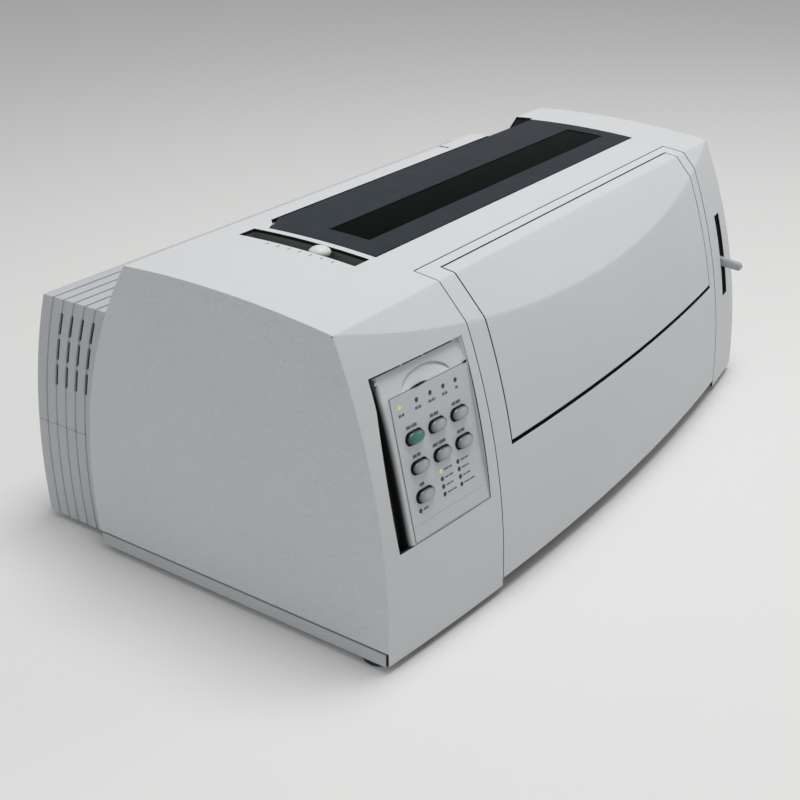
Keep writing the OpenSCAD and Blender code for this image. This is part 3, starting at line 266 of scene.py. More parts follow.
# Edge wear: where a rounded normal leaves the true one, broken up by noise
def makeWearGroup():
    tree, start, end = newGroup("edgeWear", [("Vector", "NodeSocketVector", None),
                                             ("Width", "NodeSocketFloat", 0.0012),
                                             ("Amount", "NodeSocketFloat", 0.5)],
                                [("Mask", "NodeSocketFloat")])
    rounded = tree.nodes.new("ShaderNodeBevel")
    rounded.samples = 4
    tree.links.new(start.outputs["Width"], rounded.inputs["Radius"])
    geometry = tree.nodes.new("ShaderNodeNewGeometry")
    dot = tree.nodes.new("ShaderNodeVectorMath")
    dot.operation = "DOT_PRODUCT"
    tree.links.new(rounded.outputs["Normal"], dot.inputs[0])
    tree.links.new(geometry.outputs["True Normal"], dot.inputs[1])
    fold = rampNode(tree, mathNode(tree, "SUBTRACT", 1.0, dot.outputs["Value"]), 0.02, 0.20)
    patches = rampNode(tree, noiseNode(tree, start.outputs["Vector"], 90.0, 3.0), 0.38, 0.66)
    mask = mathNode(tree, "MULTIPLY", mathNode(tree, "MULTIPLY", fold, patches),
                    start.outputs["Amount"], clamp=True)
    tree.links.new(mask, end.inputs["Mask"])
    return tree


# Dust and handling: upward faces, more in slow noise patches
def makeDustGroup():
    tree, start, end = newGroup("settledDust", [("Vector", "NodeSocketVector", None),
                                                ("Amount", "NodeSocketFloat", 0.3)],
                                [("Mask", "NodeSocketFloat"), ("Cloud", "NodeSocketFloat")])
    geometry = tree.nodes.new("ShaderNodeNewGeometry")
    split = tree.nodes.new("ShaderNodeSeparateXYZ")
    tree.links.new(geometry.outputs["Normal"], split.inputs[0])
    up = rampNode(tree, split.outputs["Z"], 0.2, 1.0)
    cloud = noiseNode(tree, start.outputs["Vector"], 9.0, 4.0, 0.55)
    spots = rampNode(tree, noiseNode(tree, start.outputs["Vector"], 60.0, 3.0), 0.35, 0.75)
    mask = mathNode(tree, "MULTIPLY", mathNode(tree, "MULTIPLY", up, spots),
                    start.outputs["Amount"], clamp=True)
    tree.links.new(mask, end.inputs["Mask"])
    tree.links.new(cloud, end.inputs["Cloud"])
    return tree


grainGroup, wearGroup, dustGroup = makeGrainGroup(), makeWearGroup(), makeDustGroup()


# A shared group placed in a material with its own values
def placeGroup(tree, group, vector, **values):
    node = tree.nodes.new("ShaderNodeGroup")
    node.node_tree = group
    tree.links.new(vector, node.inputs["Vector"])
    for title, value in values.items():
        node.inputs[title.capitalize()].default_value = value
    return node


# A colour times a factor, kept between 0 and 1
def tinted(color, factor):
    return tuple(min(1.0, max(0.0, c * factor)) for c in color[:3]) + (1.0,)


# Mixes two colours, each a value or a socket, by a factor
def mixColor(tree, factor, a, b):
    node = tree.nodes.new("ShaderNodeMix")
    node.data_type = "RGBA"
    tree.links.new(factor, node.inputs["Factor"])
    for title, value in (("A", a), ("B", b)):
        socket = [s for s in node.inputs if s.name == title and s.type == "RGBA"][0]
        if isinstance(value, tuple):
            socket.default_value = value
        else:
            tree.links.new(value, socket)
    return [s for s in node.outputs if s.type == "RGBA"][0]


def linear(red, green, blue):  # screen values 0 to 255 to linear light
    return tuple(c / 12.92 if c <= 0.04045 else ((c + 0.055) / 1.055) ** 2.4
                 for c in (red / 255, green / 255, blue / 255)) + (1.0,)


# Base colour with slow clouds, worn edges and settled dust; grain drives the bump
def mouldedMaterial(name, color, rough=0.5, roughVary=0.12, grain=700.0, bump=0.25,
                    depth=0.00025, fine=0.35, cloudy=0.04, wear=0.3, wearColor=None,
                    wearWidth=0.0012, dust=0.12, dustColor=None, metallic=0.0, specular=0.5,
                    coat=0.0, coatRough=0.1, ior=1.5, stretch=(1, 1, 1)):
    material = bpy.data.materials.new(name)
    material.use_nodes = True
    tree = material.node_tree
    shader = tree.nodes["Principled BSDF"]
    coords = tree.nodes.new("ShaderNodeTexCoord")
    mapping = tree.nodes.new("ShaderNodeMapping")
    mapping.inputs["Scale"].default_value = stretch
    tree.links.new(coords.outputs["Object"], mapping.inputs["Vector"])
    vector = coords.outputs["Object"]
    shader.inputs["Metallic"].default_value = metallic
    shader.inputs["Specular IOR Level"].default_value = specular
    shader.inputs["IOR"].default_value = ior
    shader.inputs["Coat Weight"].default_value = coat
    shader.inputs["Coat Roughness"].default_value = coatRough
    dustNode = placeGroup(tree, dustGroup, vector, amount=dust)
    base = mixColor(tree, dustNode.outputs["Cloud"], tinted(color, 1 - cloudy), tinted(color, 1 + cloudy))
    if wear:
        wearNode = placeGroup(tree, wearGroup, vector, width=wearWidth, amount=wear)
        base = mixColor(tree, wearNode.outputs["Mask"], base, wearColor or tinted(color, 1.25))
    if dust:
        base = mixColor(tree, dustNode.outputs["Mask"], base, dustColor or linear(190, 188, 182))
    tree.links.new(base, shader.inputs["Base Color"])
    grainNode = placeGroup(tree, grainGroup, mapping.outputs["Vector"], scale=grain, fine=fine)
    rougher = mathNode(tree, "MULTIPLY", dustNode.outputs["Cloud"], roughVary)
    rougher = mathNode(tree, "ADD", rougher, rough - roughVary / 2)
    rougher = mathNode(tree, "ADD", rougher,
                       mathNode(tree, "MULTIPLY", grainNode.outputs["Height"], 0.08), clamp=True)
    tree.links.new(rougher, shader.inputs["Roughness"])
    bumpNode = tree.nodes.new("ShaderNodeBump")
    bumpNode.inputs["Strength"].default_value = bump
    bumpNode.inputs["Distance"].default_value = depth
    tree.links.new(grainNode.outputs["Height"], bumpNode.inputs["Height"])
    tree.links.new(bumpNode.outputs["Normal"], shader.inputs["Normal"])
    return material


# Paints shade: mixes the base colour with the dark low by the mesh's own attribute rise: 0 gives low, 1
# the base
def shadeByRise(material, low):
    tree = material.node_tree
    socket = tree.nodes["Principled BSDF"].inputs["Base Color"]
    rise = tree.nodes.new("ShaderNodeAttribute")
    rise.attribute_name = "rise"
    tree.links.new(mixColor(tree, rise.outputs["Fac"], low, socket.links[0].from_socket), socket)
    return material


# Writes one value per vertex into the attribute rise
def setRise(piece, values):
    layer = piece.data.attributes.new("rise", "FLOAT", "POINT")
    layer.data.foreach_set("value", np.asarray(values, np.float32))


def litMaterial(name, color, middle, strength):  # a lens lit from inside, paler at its middle
    material = mouldedMaterial(name, tinted(color, 0.5), rough=0.3, bump=0.05, wear=0.0,
                               dust=0.0, specular=0.2)
    shader = material.node_tree.nodes["Principled BSDF"]
    tree = material.node_tree
    facing = tree.nodes.new("ShaderNodeLayerWeight")
    facing.inputs["Blend"].default_value = 0.4
    glow = mixColor(tree, facing.outputs["Facing"], middle, color)
    tree.links.new(glow, shader.inputs["Emission Color"])
    shader.inputs["Emission Strength"].default_value = strength
    return material


shellColor = linear(205, 207, 209)
finishes = dict(
    caseShell=mouldedMaterial("caseShell", shellColor, rough=0.52, grain=820, bump=0.22,
                              depth=0.0003, wear=0.12, dust=0.06),
    caseSide=mouldedMaterial("caseSide", shellColor, rough=0.56, grain=360, bump=0.8,
                             depth=0.0009, fine=0.6, wear=0.12, dust=0.05),
    caseInside=mouldedMaterial("caseInside", linear(150, 152, 154), rough=0.6, wear=0.0),
    rearShell=mouldedMaterial("rearShell", linear(186, 189, 192), rough=0.55, grain=820,
                              bump=0.22, depth=0.0003, wear=0.15, dust=0.08),
    lidCharcoal=mouldedMaterial("lidCharcoal", linear(40, 46, 52), rough=0.6, grain=900,
                                bump=0.35, depth=0.0004, fine=0.6, cloudy=0.02, wear=0.25,
                                wearColor=linear(80, 88, 94), dust=0.01, ior=1.18),
    windowGloss=mouldedMaterial("windowGloss", linear(3, 6, 7), rough=0.2, roughVary=0.05,
                                grain=60, bump=0.02, cloudy=0.1, wear=0.0, dust=0.0,
                                ior=1.03),
    # Dark grey for gaps, rims and slivers: painted shade
    gapShade=mouldedMaterial("gapShade", linear(30, 33, 36), rough=0.7, cloudy=0.02, wear=0.0,
                             dust=0.0, specular=0.1),
    # Black plastic, also the keypad insert's painted shade
    blackPlasticAndShade=mouldedMaterial("blackPlasticAndShade", linear(26, 27, 28), rough=0.5, grain=900,
                                 bump=0.2, wear=0.3, wearColor=linear(60, 60, 62), dust=0.03),
    darkPlastic=mouldedMaterial("darkPlastic", linear(50, 52, 54), rough=0.5, grain=900,
                                bump=0.2, wear=0.3, wearColor=linear(90, 90, 92), dust=0.04),
    slotWall=mouldedMaterial("slotWall", linear(112, 120, 116), rough=0.6, grain=900, bump=0.15,
                             wear=0.0, dust=0.02),
    # The panel's channel and the grooves round its plate go near black: painted shade
    panelGrey=shadeByRise(mouldedMaterial(
        "panelGrey", linear(200, 202, 205), rough=0.42, grain=1200, bump=0.10, depth=0.0002,
        wear=0.1, dust=0.05), linear(5, 7, 8)),
    plateFilm=mouldedMaterial("plateFilm", linear(197, 200, 204), rough=0.35, grain=1600,
                              bump=0.06, depth=0.0002, wear=0.08, dust=0.04),
    # Button caps darken from the crown to the rim by rise: painted shade, the bright crown a painted
    # highlight
    buttonSilver=shadeByRise(mouldedMaterial(
        "buttonSilver", linear(170, 171, 179), rough=0.3, roughVary=0.04, grain=300, bump=0.01,
        cloudy=0.02, wear=0.0, dust=0.0, coat=0.6, coatRough=0.2), linear(52, 54, 62)),
    buttonGreen=shadeByRise(mouldedMaterial(
        "buttonGreen", linear(6, 122, 100), rough=0.3, roughVary=0.04, grain=300, bump=0.01,
        cloudy=0.03, wear=0.0, dust=0.0, coat=0.4, coatRough=0.2), linear(0, 46, 36)),
    # The buttons' skirts are near black: painted shade round the caps
    buttonSkirtShade=mouldedMaterial("buttonSkirtShade", linear(8, 10, 11), rough=0.5, grain=900,
                                bump=0.1, wear=0.0, dust=0.0, specular=0.15),
    lensDark=mouldedMaterial("lensDark", linear(9, 13, 14), rough=0.15, grain=400, bump=0.02,
                             wear=0.0, dust=0.02, coat=0.5),
    lensLit=litMaterial("lensLit", linear(150, 190, 48), linear(232, 240, 176), 0.55),
    labelInk=mouldedMaterial("labelInk", linear(92, 97, 104), rough=0.55, grain=1500,
                             bump=0.05, cloudy=0.2, wear=0.0, dust=0.0),
    faintInk=mouldedMaterial("faintInk", linear(172, 175, 180), rough=0.5, grain=1500,
                             bump=0.05, wear=0.0, dust=0.0),
    ivoryPlastic=mouldedMaterial("ivoryPlastic", linear(214, 215, 210), rough=0.42, grain=1000,
                                 bump=0.08, wear=0.15, dust=0.12),
    leverGrey=mouldedMaterial("leverGrey", linear(160, 163, 166), rough=0.42, grain=900,
                              bump=0.1, wear=0.2, dust=0.05),
    feetRubber=mouldedMaterial("feetRubber", linear(38, 38, 40), rough=0.8, grain=700, bump=0.3,
                               wear=0.2, wearColor=linear(70, 70, 72), dust=0.3),
    platenRubber=mouldedMaterial("platenRubber", linear(30, 31, 32), rough=0.7, grain=1500,
                                 bump=0.2, wear=0.0, dust=0.15, stretch=(0.2, 1, 1)),
    steelRod=mouldedMaterial("steelRod", linear(196, 198, 202), rough=0.22, grain=900, bump=0.06,
                             wear=0.1, dust=0.1, metallic=1.0, stretch=(0.05, 1, 1)),
    steelSheet=mouldedMaterial("steelSheet", linear(172, 175, 178), rough=0.45, grain=500,
                               bump=0.05, cloudy=0.05, wear=0.3, dust=0.05, metallic=0.8),
    motorCasing=mouldedMaterial("motorCasing", linear(46, 47, 50), rough=0.38, grain=600,
                                bump=0.1, wear=0.4, wearColor=linear(110, 110, 112), dust=0.2),
    circuitBoard=mouldedMaterial("circuitBoard", linear(24, 84, 46), rough=0.35, grain=500,
                                 bump=0.15, cloudy=0.2, wear=0.2, wearColor=linear(150, 130, 70),
                                 dust=0.15),
)
print("materials made:", len(finishes))

camera = dict(lens=54.773, sensor=36.0, place=(-0.823147, -0.553478, 0.520099),
              forward=(0.732091, 0.523130, -0.436322), right=(0.576930, -0.816710, -0.011180))


# Axes: right and forward as given, up square to both
def makeCamera():
    data = bpy.data.cameras.new("camera")
    data.lens, data.sensor_width, data.clip_start = camera["lens"], camera["sensor"], 0.02
    holder = bpy.data.objects.new("camera", data)
    forward = Vector(camera["forward"]).normalized()
    right = Vector(camera["right"])
    right = (right - forward * right.dot(forward)).normalized()
    up = right.cross(forward)
    turn = Matrix((right, up, -forward)).transposed().to_4x4()
    holder.matrix_world = Matrix.Translation(Vector(camera["place"])) @ turn
    bpy.context.scene.collection.objects.link(holder)
    bpy.context.scene.camera = holder


lamps = dict(
    key=dict(place=(0.1, -0.2, 2.1), aim=(0.0, 0.0, 0.12), size=1.1, power=25.0),
    side=dict(place=(-1.9, 0.1, 0.9), aim=(-0.2, 0.0, 0.1), size=1.2, power=3.0),
    right=dict(place=(1.5, -1.3, 1.1), aim=(0.0, 0.0, 0.1), size=1.2, power=5.0),
)
world = dict(strength=0.34, color=(0.97, 0.985, 1.0, 1.0))
floor = dict(size=12.0, color=linear(232, 232, 230))


# Round lamps turned to their aims; the camera and gloss see the world in the floor's colour
def makeLights():
    for name, lamp in lamps.items():
        data = bpy.data.lights.new(name, "AREA")
        data.shape, data.size, data.energy = "DISK", lamp["size"], lamp["power"]
        holder = bpy.data.objects.new(name, data)
        aim = Vector(lamp["aim"]) - Vector(lamp["place"])
        holder.matrix_world = (Matrix.Translation(Vector(lamp["place"]))
                               @ aim.to_track_quat("-Z", "Y").to_matrix().to_4x4())
        bpy.context.scene.collection.objects.link(holder)
    sky = bpy.data.worlds.new("studio")
    sky.use_nodes = True
    tree = sky.node_tree
    background = tree.nodes["Background"]
    background.inputs["Color"].default_value = world["color"]
    background.inputs["Strength"].default_value = world["strength"]
    seen = tree.nodes.new("ShaderNodeBackground")
    seen.inputs["Color"].default_value = floor["color"]
    path = tree.nodes.new("ShaderNodeLightPath")
    mix = tree.nodes.new("ShaderNodeMixShader")
    shown = mathNode(tree, "MAXIMUM", path.outputs["Is Camera Ray"], path.outputs["Is Glossy Ray"])
    tree.links.new(shown, mix.inputs[0])
    tree.links.new(background.outputs[0], mix.inputs[1])
    tree.links.new(seen.outputs[0], mix.inputs[2])
    tree.links.new(mix.outputs[0], tree.nodes["World Output"].inputs[0])
    bpy.context.scene.world = sky
    bpy.context.scene.view_settings.view_transform = "Standard"


# A square sheet round the origin
def makeFloor():
    half = floor["size"] / 2
    mesh = bpy.data.meshes.new("floor")
    mesh.from_pydata([(-half, -half, 0), (half, -half, 0), (half, half, 0), (-half, half, 0)],
                     [], [(0, 1, 2, 3)])
    material = bpy.data.materials.new("paleFloor")
    material.use_nodes = True
    shader = material.node_tree.nodes["Principled BSDF"]
    shader.inputs["Base Color"].default_value = floor["color"]
    shader.inputs["Roughness"].default_value = 0.7
    mesh.materials.append(material)
    holder = bpy.data.objects.new("floor", mesh)
    bpy.context.scene.collection.objects.link(holder)


makeCamera()
makeLights()
makeFloor()
print("camera, lights and floor made")

# The keypad's own frame: u along it, v into it, w up it
keypad = dict(x=-225, z=135, recess=3.2, u0=-52, u1=41, w0=-51, w1=68.5, bendW=48, bend=12.8,
              bendEven=1.28, edgeReturn=5)
keypadYaw = math.asin(keypad["x"] / (bowRadius - case["frontRadius"] + math.sqrt(
    case["frontRadius"] ** 2 - (keypad["z"] - case["frontUpright"]) ** 2)))
keypadTilt = -math.asin((keypad["z"] - case["frontUpright"]) / case["frontRadius"])
keypadTurn = np.array(Matrix.Rotation(keypadYaw, 3, "Z") @ Matrix.Rotation(keypadTilt, 3, "X"))
keypadPlace = np.array([keypad["x"], float(frontY(keypad["x"], keypad["z"])), keypad["z"]])
keypadInside = (keypad["x"], 60, keypad["z"])  # a point behind the keypad


# Case coordinates of a point u along, v into and w up the keypad
def onKeypad(u, v, w):
    u, v, w = np.broadcast_arrays(np.asarray(u, float), v, w)
    local = np.stack([u, v + keypad["recess"], w], -1)
    spot = local @ keypadTurn.T + keypadPlace
    return spot[..., 0], spot[..., 1], spot[..., 2]


# Depth v at which the keypad's normal through (u, w) meets the case, by Newton steps
def caseDepth(u, w):
    v = -keypad["recess"] + 0 * (u + w)
    for _ in range(8):
        x, y, z = onKeypad(u, v, w)
        v = v - (y - frontY(x, z)) / keypadTurn[1, 1]
    return v


# x and z of the point where the keypad's normal through (u, w) meets the case
def keypadOnCase(u, w):
    x, y, z = onKeypad(u, caseDepth(u, w), w)
    return float(x), float(z)


# u of the pocket's left edge, which bends outward from the plate's top down
def pocketLeft(w):
    s = keypad
    share = np.clip((s["bendW"] - w) / (s["bendW"] - s["w0"]), 0, 1)
    return s["u0"] - s["bend"] * share * (s["bendEven"] - share)


upperCase = dict(coverX0=-173.9, coverX1=235.9, stripY=66.0, lidY0=97.5, lidY1=208.4, cut=13,
                 slotX=(-197, -180), slotY=(98.5, 204.5), notchX=(98.5, 101), exitX=(157, 241),
                 forkX=(259.5, 273), forkZ=(92, 169), returnWidth=12, soft=1.8, edge=0.6,
                 knobY=168, knobZ=186, knobHole=19, knobRoom=29, exitRim=12, notchStart=5.6,
                 levelZ=40.0, arcX=-285.0, leftCounts=(3, 2, 14, 3), rightCounts=(4, 2, 2, 3),
                 middleCounts=(1, 1, 1, 1, 20, 1, 6, 8), footRows=3, facetRows=5, lipRows=3)


# The bowed front at x and z
def frontPoint(x, z):
    return metres(x, frontY(x, z), z)


def facetPoint(x, g):  # a flat strip from the front's arc up to the crease, g from 0 to 1
    z0 = arcZ(x)
    y0 = frontY(x, z0)
    return metres(x, y0 + (creaseY - y0) * g, z0 + (case["creaseZ"] - z0) * g)


# Front of a column: knots in rows, straight between them in x and z, the top row along the facet's
# arc. The hole is given as (row, row, column, column) of knots.
def columnPatch(knotsX, knotsZ, countsX, countsZ, hole, bend=None):
    tx, tz = knotLine(countsX), knotLine(countsZ)
    gridX = np.array([along(tx, row) for row in knotsX])
    gridZ = np.array([along(tx, row) for row in knotsZ])
    gridZ[-1] = arcZ(gridX[-1])
    x, z = (np.array([along(tz, line) for line in grid.T]).T for grid in (gridX, gridZ))
    if bend:
        bend(x, z, tx, tz)
    cellZ = ((tz[:-1] + tz[1:]) / 2)[:, None]
    cellX = ((tx[:-1] + tx[1:]) / 2)[None, :]
    keep = ~((cellZ > hole[0]) & (cellZ < hole[1]) & (cellX > hole[2]) & (cellX < hole[3]))
    return x, z, keep


# Shares of the cut at which lines cross the lid's cut corner, and the room in which that corner swings
cutSteps = np.array([0.0, 0.35, 0.7, 0.85, 1.0])
swingRoom = dict(x0=-164.9, y0=199.3, x1=-156.5, y1=208.4)


# x of the corner's five lines in the row at y: from the cut on, they bend to the swing room
def cornerKnots(y):
    s, r = upperCase, swingRoom
    knots = s["coverX0"] + 2 * s["cut"] * cutSteps
    share = min(1.0, (y - s["lidY1"] + s["cut"]) / s["cut"])
    if share < 0.5:
        return knots
    end = r["x0"] + (min(y, r["y1"]) - r["y0"]) * (r["x1"] - r["x0"]) / (r["y1"] - r["y0"])
    scale = (end - s["coverX0"]) / (2 * s["cut"] * share)
    return np.where(cutSteps <= share + 0.01, s["coverX0"] + (knots - s["coverX0"]) * scale, knots)


# Moves the pocket's left border, and by shares the lines beside it, onto pocketLeft. The pocket lies
# between knot rows 3 and 4, and its left border is knot column 2.
def bendPocket(x, z, tx, tz):
    column = int(np.argmin(abs(tx - 2)))
    for row in np.flatnonzero((tz >= 3) & (tz <= 4)):
        w = keypad["w0"] + (keypad["w1"] - keypad["w0"]) * (tz[row] - 3)
        target = keypadOnCase(float(pocketLeft(w)), w)
        shift = (target[0] - x[row, column], target[1] - z[row, column])
        for k, part in ((column - 1, 0.5), (column, 1.0), (column + 1, 0.75), (column + 2, 0.5),
                        (column + 3, 0.25)):
            x[row, k] += shift[0] * part
            z[row, k] += shift[1] * part


# A column's patch, its outer edge from the foot up and its top row; side is -1 left and 1 right
def columnParts(x, z, keep, side):
    outer = 0 if side < 0 else -1
    x[:, outer] = side * halfWidth(z[:, outer])
    patch = [frontPoint(x, z), gridFaces(*x.shape, keep).tolist(), 0]
    return patch, (x[:, outer], z[:, outer]), x[-1]


# Left column: level rows below and above, and two sloped rows through the keypad's corners
def leftColumn():
    s = upperCase
    corners = [[keypadOnCase(keypad[u], keypad[w]) for u in ("u0", "u1")] for w in ("w0", "w1")]

    def levelRow(half, pair):
        return [-half, -half + s["returnWidth"], pair[0][0], pair[1][0], s["coverX0"]]

    knotsX, knotsZ = [], []
    for z in (case["columnZ"], case["sideZ"], s["levelZ"]):
        knotsX.append(levelRow(float(halfWidth(z)), corners[0]))
        knotsZ.append([z] * 5)
    for (xa, za), (xb, zb) in corners:
        half = float(halfWidth(za))
        row = [-half, -half + keypad["edgeReturn"], xa, xb, s["coverX0"]]
        knotsX.append(row)
        knotsZ.append([za + (zb - za) / (xb - xa) * (x - xa) for x in row])
    knotsX.append(levelRow(float(halfWidth(arcTopZ)), corners[1]))
    knotsZ.append([float(arcZ(s["arcX"]))] * 5)
    grid = columnPatch(knotsX, knotsZ, s["leftCounts"], (s["footRows"], 3, 10, 22, 6),
                       (3, 4, 2, 3), bendPocket)
    return columnParts(*grid, -1)


# Right column: level rows, with the lever's slot between two of them
def rightColumn():
    s = upperCase
    knotsX, knotsZ = [], []
    for z in (case["columnZ"], case["sideZ"], *s["forkZ"], arcTopZ):
        half = float(halfWidth(z))
        knotsX.append([s["coverX1"], *s["forkX"], half - s["returnWidth"], half])
        knotsZ.append([z] * 5)
    grid = columnPatch(knotsX, knotsZ, s["rightCounts"], (s["footRows"], 10, 14, 9), (2, 3, 1, 2))
    return columnParts(*grid, 1)


# Facet above a column: straight from the arc to the crease
def facetPatch(line):
    rows = upperCase["facetRows"]
    share = np.linspace(0, 1, rows)[:, None]
    return gridPatch(facetPoint(np.broadcast_to(line, (rows, len(line))), share), rows, len(line))


# y of the top face's rows: up the strip, past the lid's front edge, through its cut corner and back
def topFaceY():
    s = upperCase
    cutY = s["lidY1"] - s["cut"]
    return np.concatenate([np.linspace(creaseY, s["stripY"], 6)[:-1],
                           np.linspace(s["stripY"], s["lidY0"], 8)[:-1], [s["lidY0"]],
                           np.linspace(s["slotY"][0], cutY, 20)[:-1],
                           cutY + s["cut"] * cutSteps[:-1],
                           np.linspace(s["lidY1"], cornerY, 6)])


# Top face: its lines move evenly from the columns' top rows to the slot, the notch and the exit, and
# its last rows go down the back arc as a lip. Cells over an opening are left out.
def topFace(leftTop, rightTop, yLine, lipZ):
    s = upperCase
    x0, x1 = s["coverX0"], s["coverX1"]
    leftT, rightT = knotLine(s["leftCounts"]), knotLine(s["rightCounts"])
    middleT = knotLine(s["middleCounts"])

    def rowAt(y, z, share):
        half = float(halfWidth(z))
        exitEnd = s["exitX"][1]
        leftNear = np.concatenate([[-half], leftTop[1:]])
        rightNear = np.concatenate([rightTop[:-1], [half]])
        leftFar = along(leftT, [-half, -half + s["returnWidth"], *s["slotX"], x0])
        rightFar = along(rightT, [x1, exitEnd, exitEnd + s["exitRim"], half - s["returnWidth"], half])
        left = leftNear + (leftFar - leftNear) * share
        right = rightNear + (rightFar - rightNear) * share
        middle = along(middleT, [*cornerKnots(y), *s["notchX"], s["exitX"][0], x1])
        return np.concatenate([left[:-1], middle, right[1:]])

    shares = np.clip((yLine - creaseY) / (s["stripY"] - creaseY), 0, 1)
    x = np.array([rowAt(y, topZ(y), share) for y, share in zip(yLine, shares)]
                 + [rowAt(cornerY, z, 1.0) for z in lipZ])
    y = np.concatenate([yLine, backY(lipZ)])[:, None] + 0 * x
    z = np.concatenate([topZ(yLine), lipZ])[:, None] + 0 * x
    cellX, cellY = (x[:-1, :-1] + x[1:, 1:]) / 2, (y[:-1, :-1] + y[1:, 1:]) / 2
    first = len(leftT) - 1
    start = int(np.argmin(abs(yLine - (s["lidY1"] - s["cut"]))))
    column = np.arange(x.shape[1] - 1)[None, :]
    row = np.arange(x.shape[0] - 1)[:, None]
    inMiddle = (column >= first) & (column < first + len(middleT) - 1)
    inSlot = (column >= sum(s["leftCounts"][:2])) & (column < sum(s["leftCounts"][:3]))
    corner = (row >= start) & (column - first < row - start)
    gone = inMiddle & (cellY < s["stripY"])
    gone |= inMiddle & (cellY > s["lidY0"]) & (cellY < s["lidY1"]) & ~corner
    gone |= inSlot & (cellY > s["slotY"][0]) & (cellY < s["slotY"][1])
    gone |= (cellX > s["exitX"][0]) & (cellX < s["exitX"][1]) & (cellY > s["lidY1"])
    gone |= ((cellX > s["notchX"][0]) & (cellX < s["notchX"][1])
             & (cellY > s["lidY1"] + s["notchStart"]))
    faces = gridFaces(*x.shape, ~gone).tolist()
    cols = x.shape[1]
    for k in range(len(cutSteps) - 1):  # the half cells along the lid's cut corner
        a = (start + k) * cols + first + k
        faces.append([a, a + cols + 1, a + cols])
    return [metres(x, y, z), faces, 0]


# Grid stretched between four edges: the sum of both ruled surfaces, less the one through the corners
def blend(front, back, low, high, u, v):
    return ((1 - u) * front[:, None] + u * back[:, None] + (1 - v) * low[None, :] + v * high[None, :]
            - (1 - u) * (1 - v) * front[0] - u * (1 - v) * back[0]
            - (1 - u) * v * front[-1] - u * v * back[-1])


# Side wall between the front, the back arc, the foot and the top, and the return along its back edge
def sideWall(side, edge, yLine, lipZ):
    s = upperCase
    edgeX, edgeZ = (line[s["footRows"]:] for line in edge)
    z0 = float(edgeZ[-1])
    y0 = float(frontY(float(edgeX[-1]), z0))
    up = np.linspace(0, 1, s["facetRows"])[1:]
    frontLineY = np.concatenate([frontY(edgeX, edgeZ), y0 + (creaseY - y0) * up])
    frontLineZ = np.concatenate([edgeZ, z0 + (case["creaseZ"] - z0) * up])
    rows = len(frontLineZ)
    backZ = np.concatenate([np.linspace(case["sideZ"], case["lipZ"], rows - len(lipZ))[:-1],
                            lipZ[::-1], [cornerZ]])
    backLineY, topLineZ = backY(backZ), topZ(yLine)
    u = ((yLine - yLine[0]) / (yLine[-1] - yLine[0]))[None, :]
    frontV, backV = (((line - line[0]) / (line[-1] - line[0]))[:, None]
                     for line in (frontLineZ, backZ))
    v = frontV * (1 - u) + backV * u
    footY = frontLineY[0] + (backLineY[0] - frontLineY[0]) * u[0]
    y = blend(frontLineY, backLineY, footY, yLine, u, v)
    z = blend(frontLineZ, backZ, np.full(len(yLine), case["sideZ"]), topLineZ, u, v)
    if side > 0:
        patches = wallWithHole(y, z, side)
    else:
        patches = [[metres(side * halfWidth(z), y, z), gridFaces(*y.shape).tolist(), 1]]
    inward = np.linspace(0, 1, 3)[None, :]
    returnZ = backZ[:-len(lipZ)][:, None] + 0 * inward
    returnX = side * (halfWidth(returnZ) - s["returnWidth"] * inward)
    patches.append([metres(returnX, backY(returnZ), returnZ), gridFaces(*returnX.shape).tolist(), 0])
    return patches


# All patches of the case, in one frame so that their shared borders merge
def upperCasePatches():
    yLine = topFaceY()
    lipZ = np.linspace(cornerZ, case["lipZ"], upperCase["lipRows"] + 1)[1:]
    leftPatch, leftEdge, leftTop = leftColumn()
    rightPatch, rightEdge, rightTop = rightColumn()
    return [leftPatch, rightPatch, facetPatch(leftTop), facetPatch(rightTop),
            topFace(leftTop, rightTop, yLine, lipZ), *sideWall(-1, leftEdge, yLine, lipZ),
            *sideWall(1, rightEdge, yLine, lipZ)]


# Cells round the knob give way to rings that run from their border to the hole's circle
def wallWithHole(y, z, side):
    s = upperCase
    rows, cols = y.shape
    cy, cz = (y[:-1, :-1] + y[1:, 1:]) / 2, (z[:-1, :-1] + z[1:, 1:]) / 2
    i, j = np.nonzero((abs(cy - s["knobY"]) < s["knobRoom"]) & (abs(cz - s["knobZ"]) < s["knobRoom"]))
    i0, i1, j0, j1 = i.min(), i.max() + 1, j.min(), j.max() + 1
    keep = np.ones((rows - 1, cols - 1), bool)
    keep[i0:i1, j0:j1] = False
    wall = [metres(side * halfWidth(z), y, z), gridFaces(rows, cols, keep).tolist(), 1]
    loop = ([(i0, k) for k in range(j0, j1)] + [(k, j1) for k in range(i0, i1)]
            + [(i1, k) for k in range(j1, j0, -1)] + [(k, j0) for k in range(i1, i0, -1)])
    ly = np.array([y[a, b] for a, b in loop])
    lz = np.array([z[a, b] for a, b in loop])
    turn = np.arctan2(lz - s["knobZ"], ly - s["knobY"])
    turns = np.concatenate([turn, turn[:1]])
    ring = np.array([0, 0.4, 0.75, 1.0])[:, None]
    py = np.concatenate([ly, ly[:1]])[None, :] * (1 - ring) + ring * (
        s["knobY"] + s["knobHole"] * np.cos(turns))[None, :]
    pz = np.concatenate([lz, lz[:1]])[None, :] * (1 - ring) + ring * (
        s["knobZ"] + s["knobHole"] * np.sin(turns))[None, :]
    return [wall, [metres(side * halfWidth(pz), py, pz), gridFaces(*py.shape).tolist(), 1]]


# Edges between the facet and the top face
def isCrease(x, y, z):
    return abs(z - case["creaseZ"]) < 1.0 and y < creaseY + 1.5


# Edges where the facet meets the bowed front, short of the side walls
def isFacetArc(x, y, z):
    return y < creaseY - 1 and abs(abs(x) - halfWidth(z)) > 1.5


# Edges between the top face and the back arc
def isTopBack(x, y, z):
    return y > 200 and abs(z - cornerZ) < 1.2


# Every edge
def always(x, y, z):
    return True
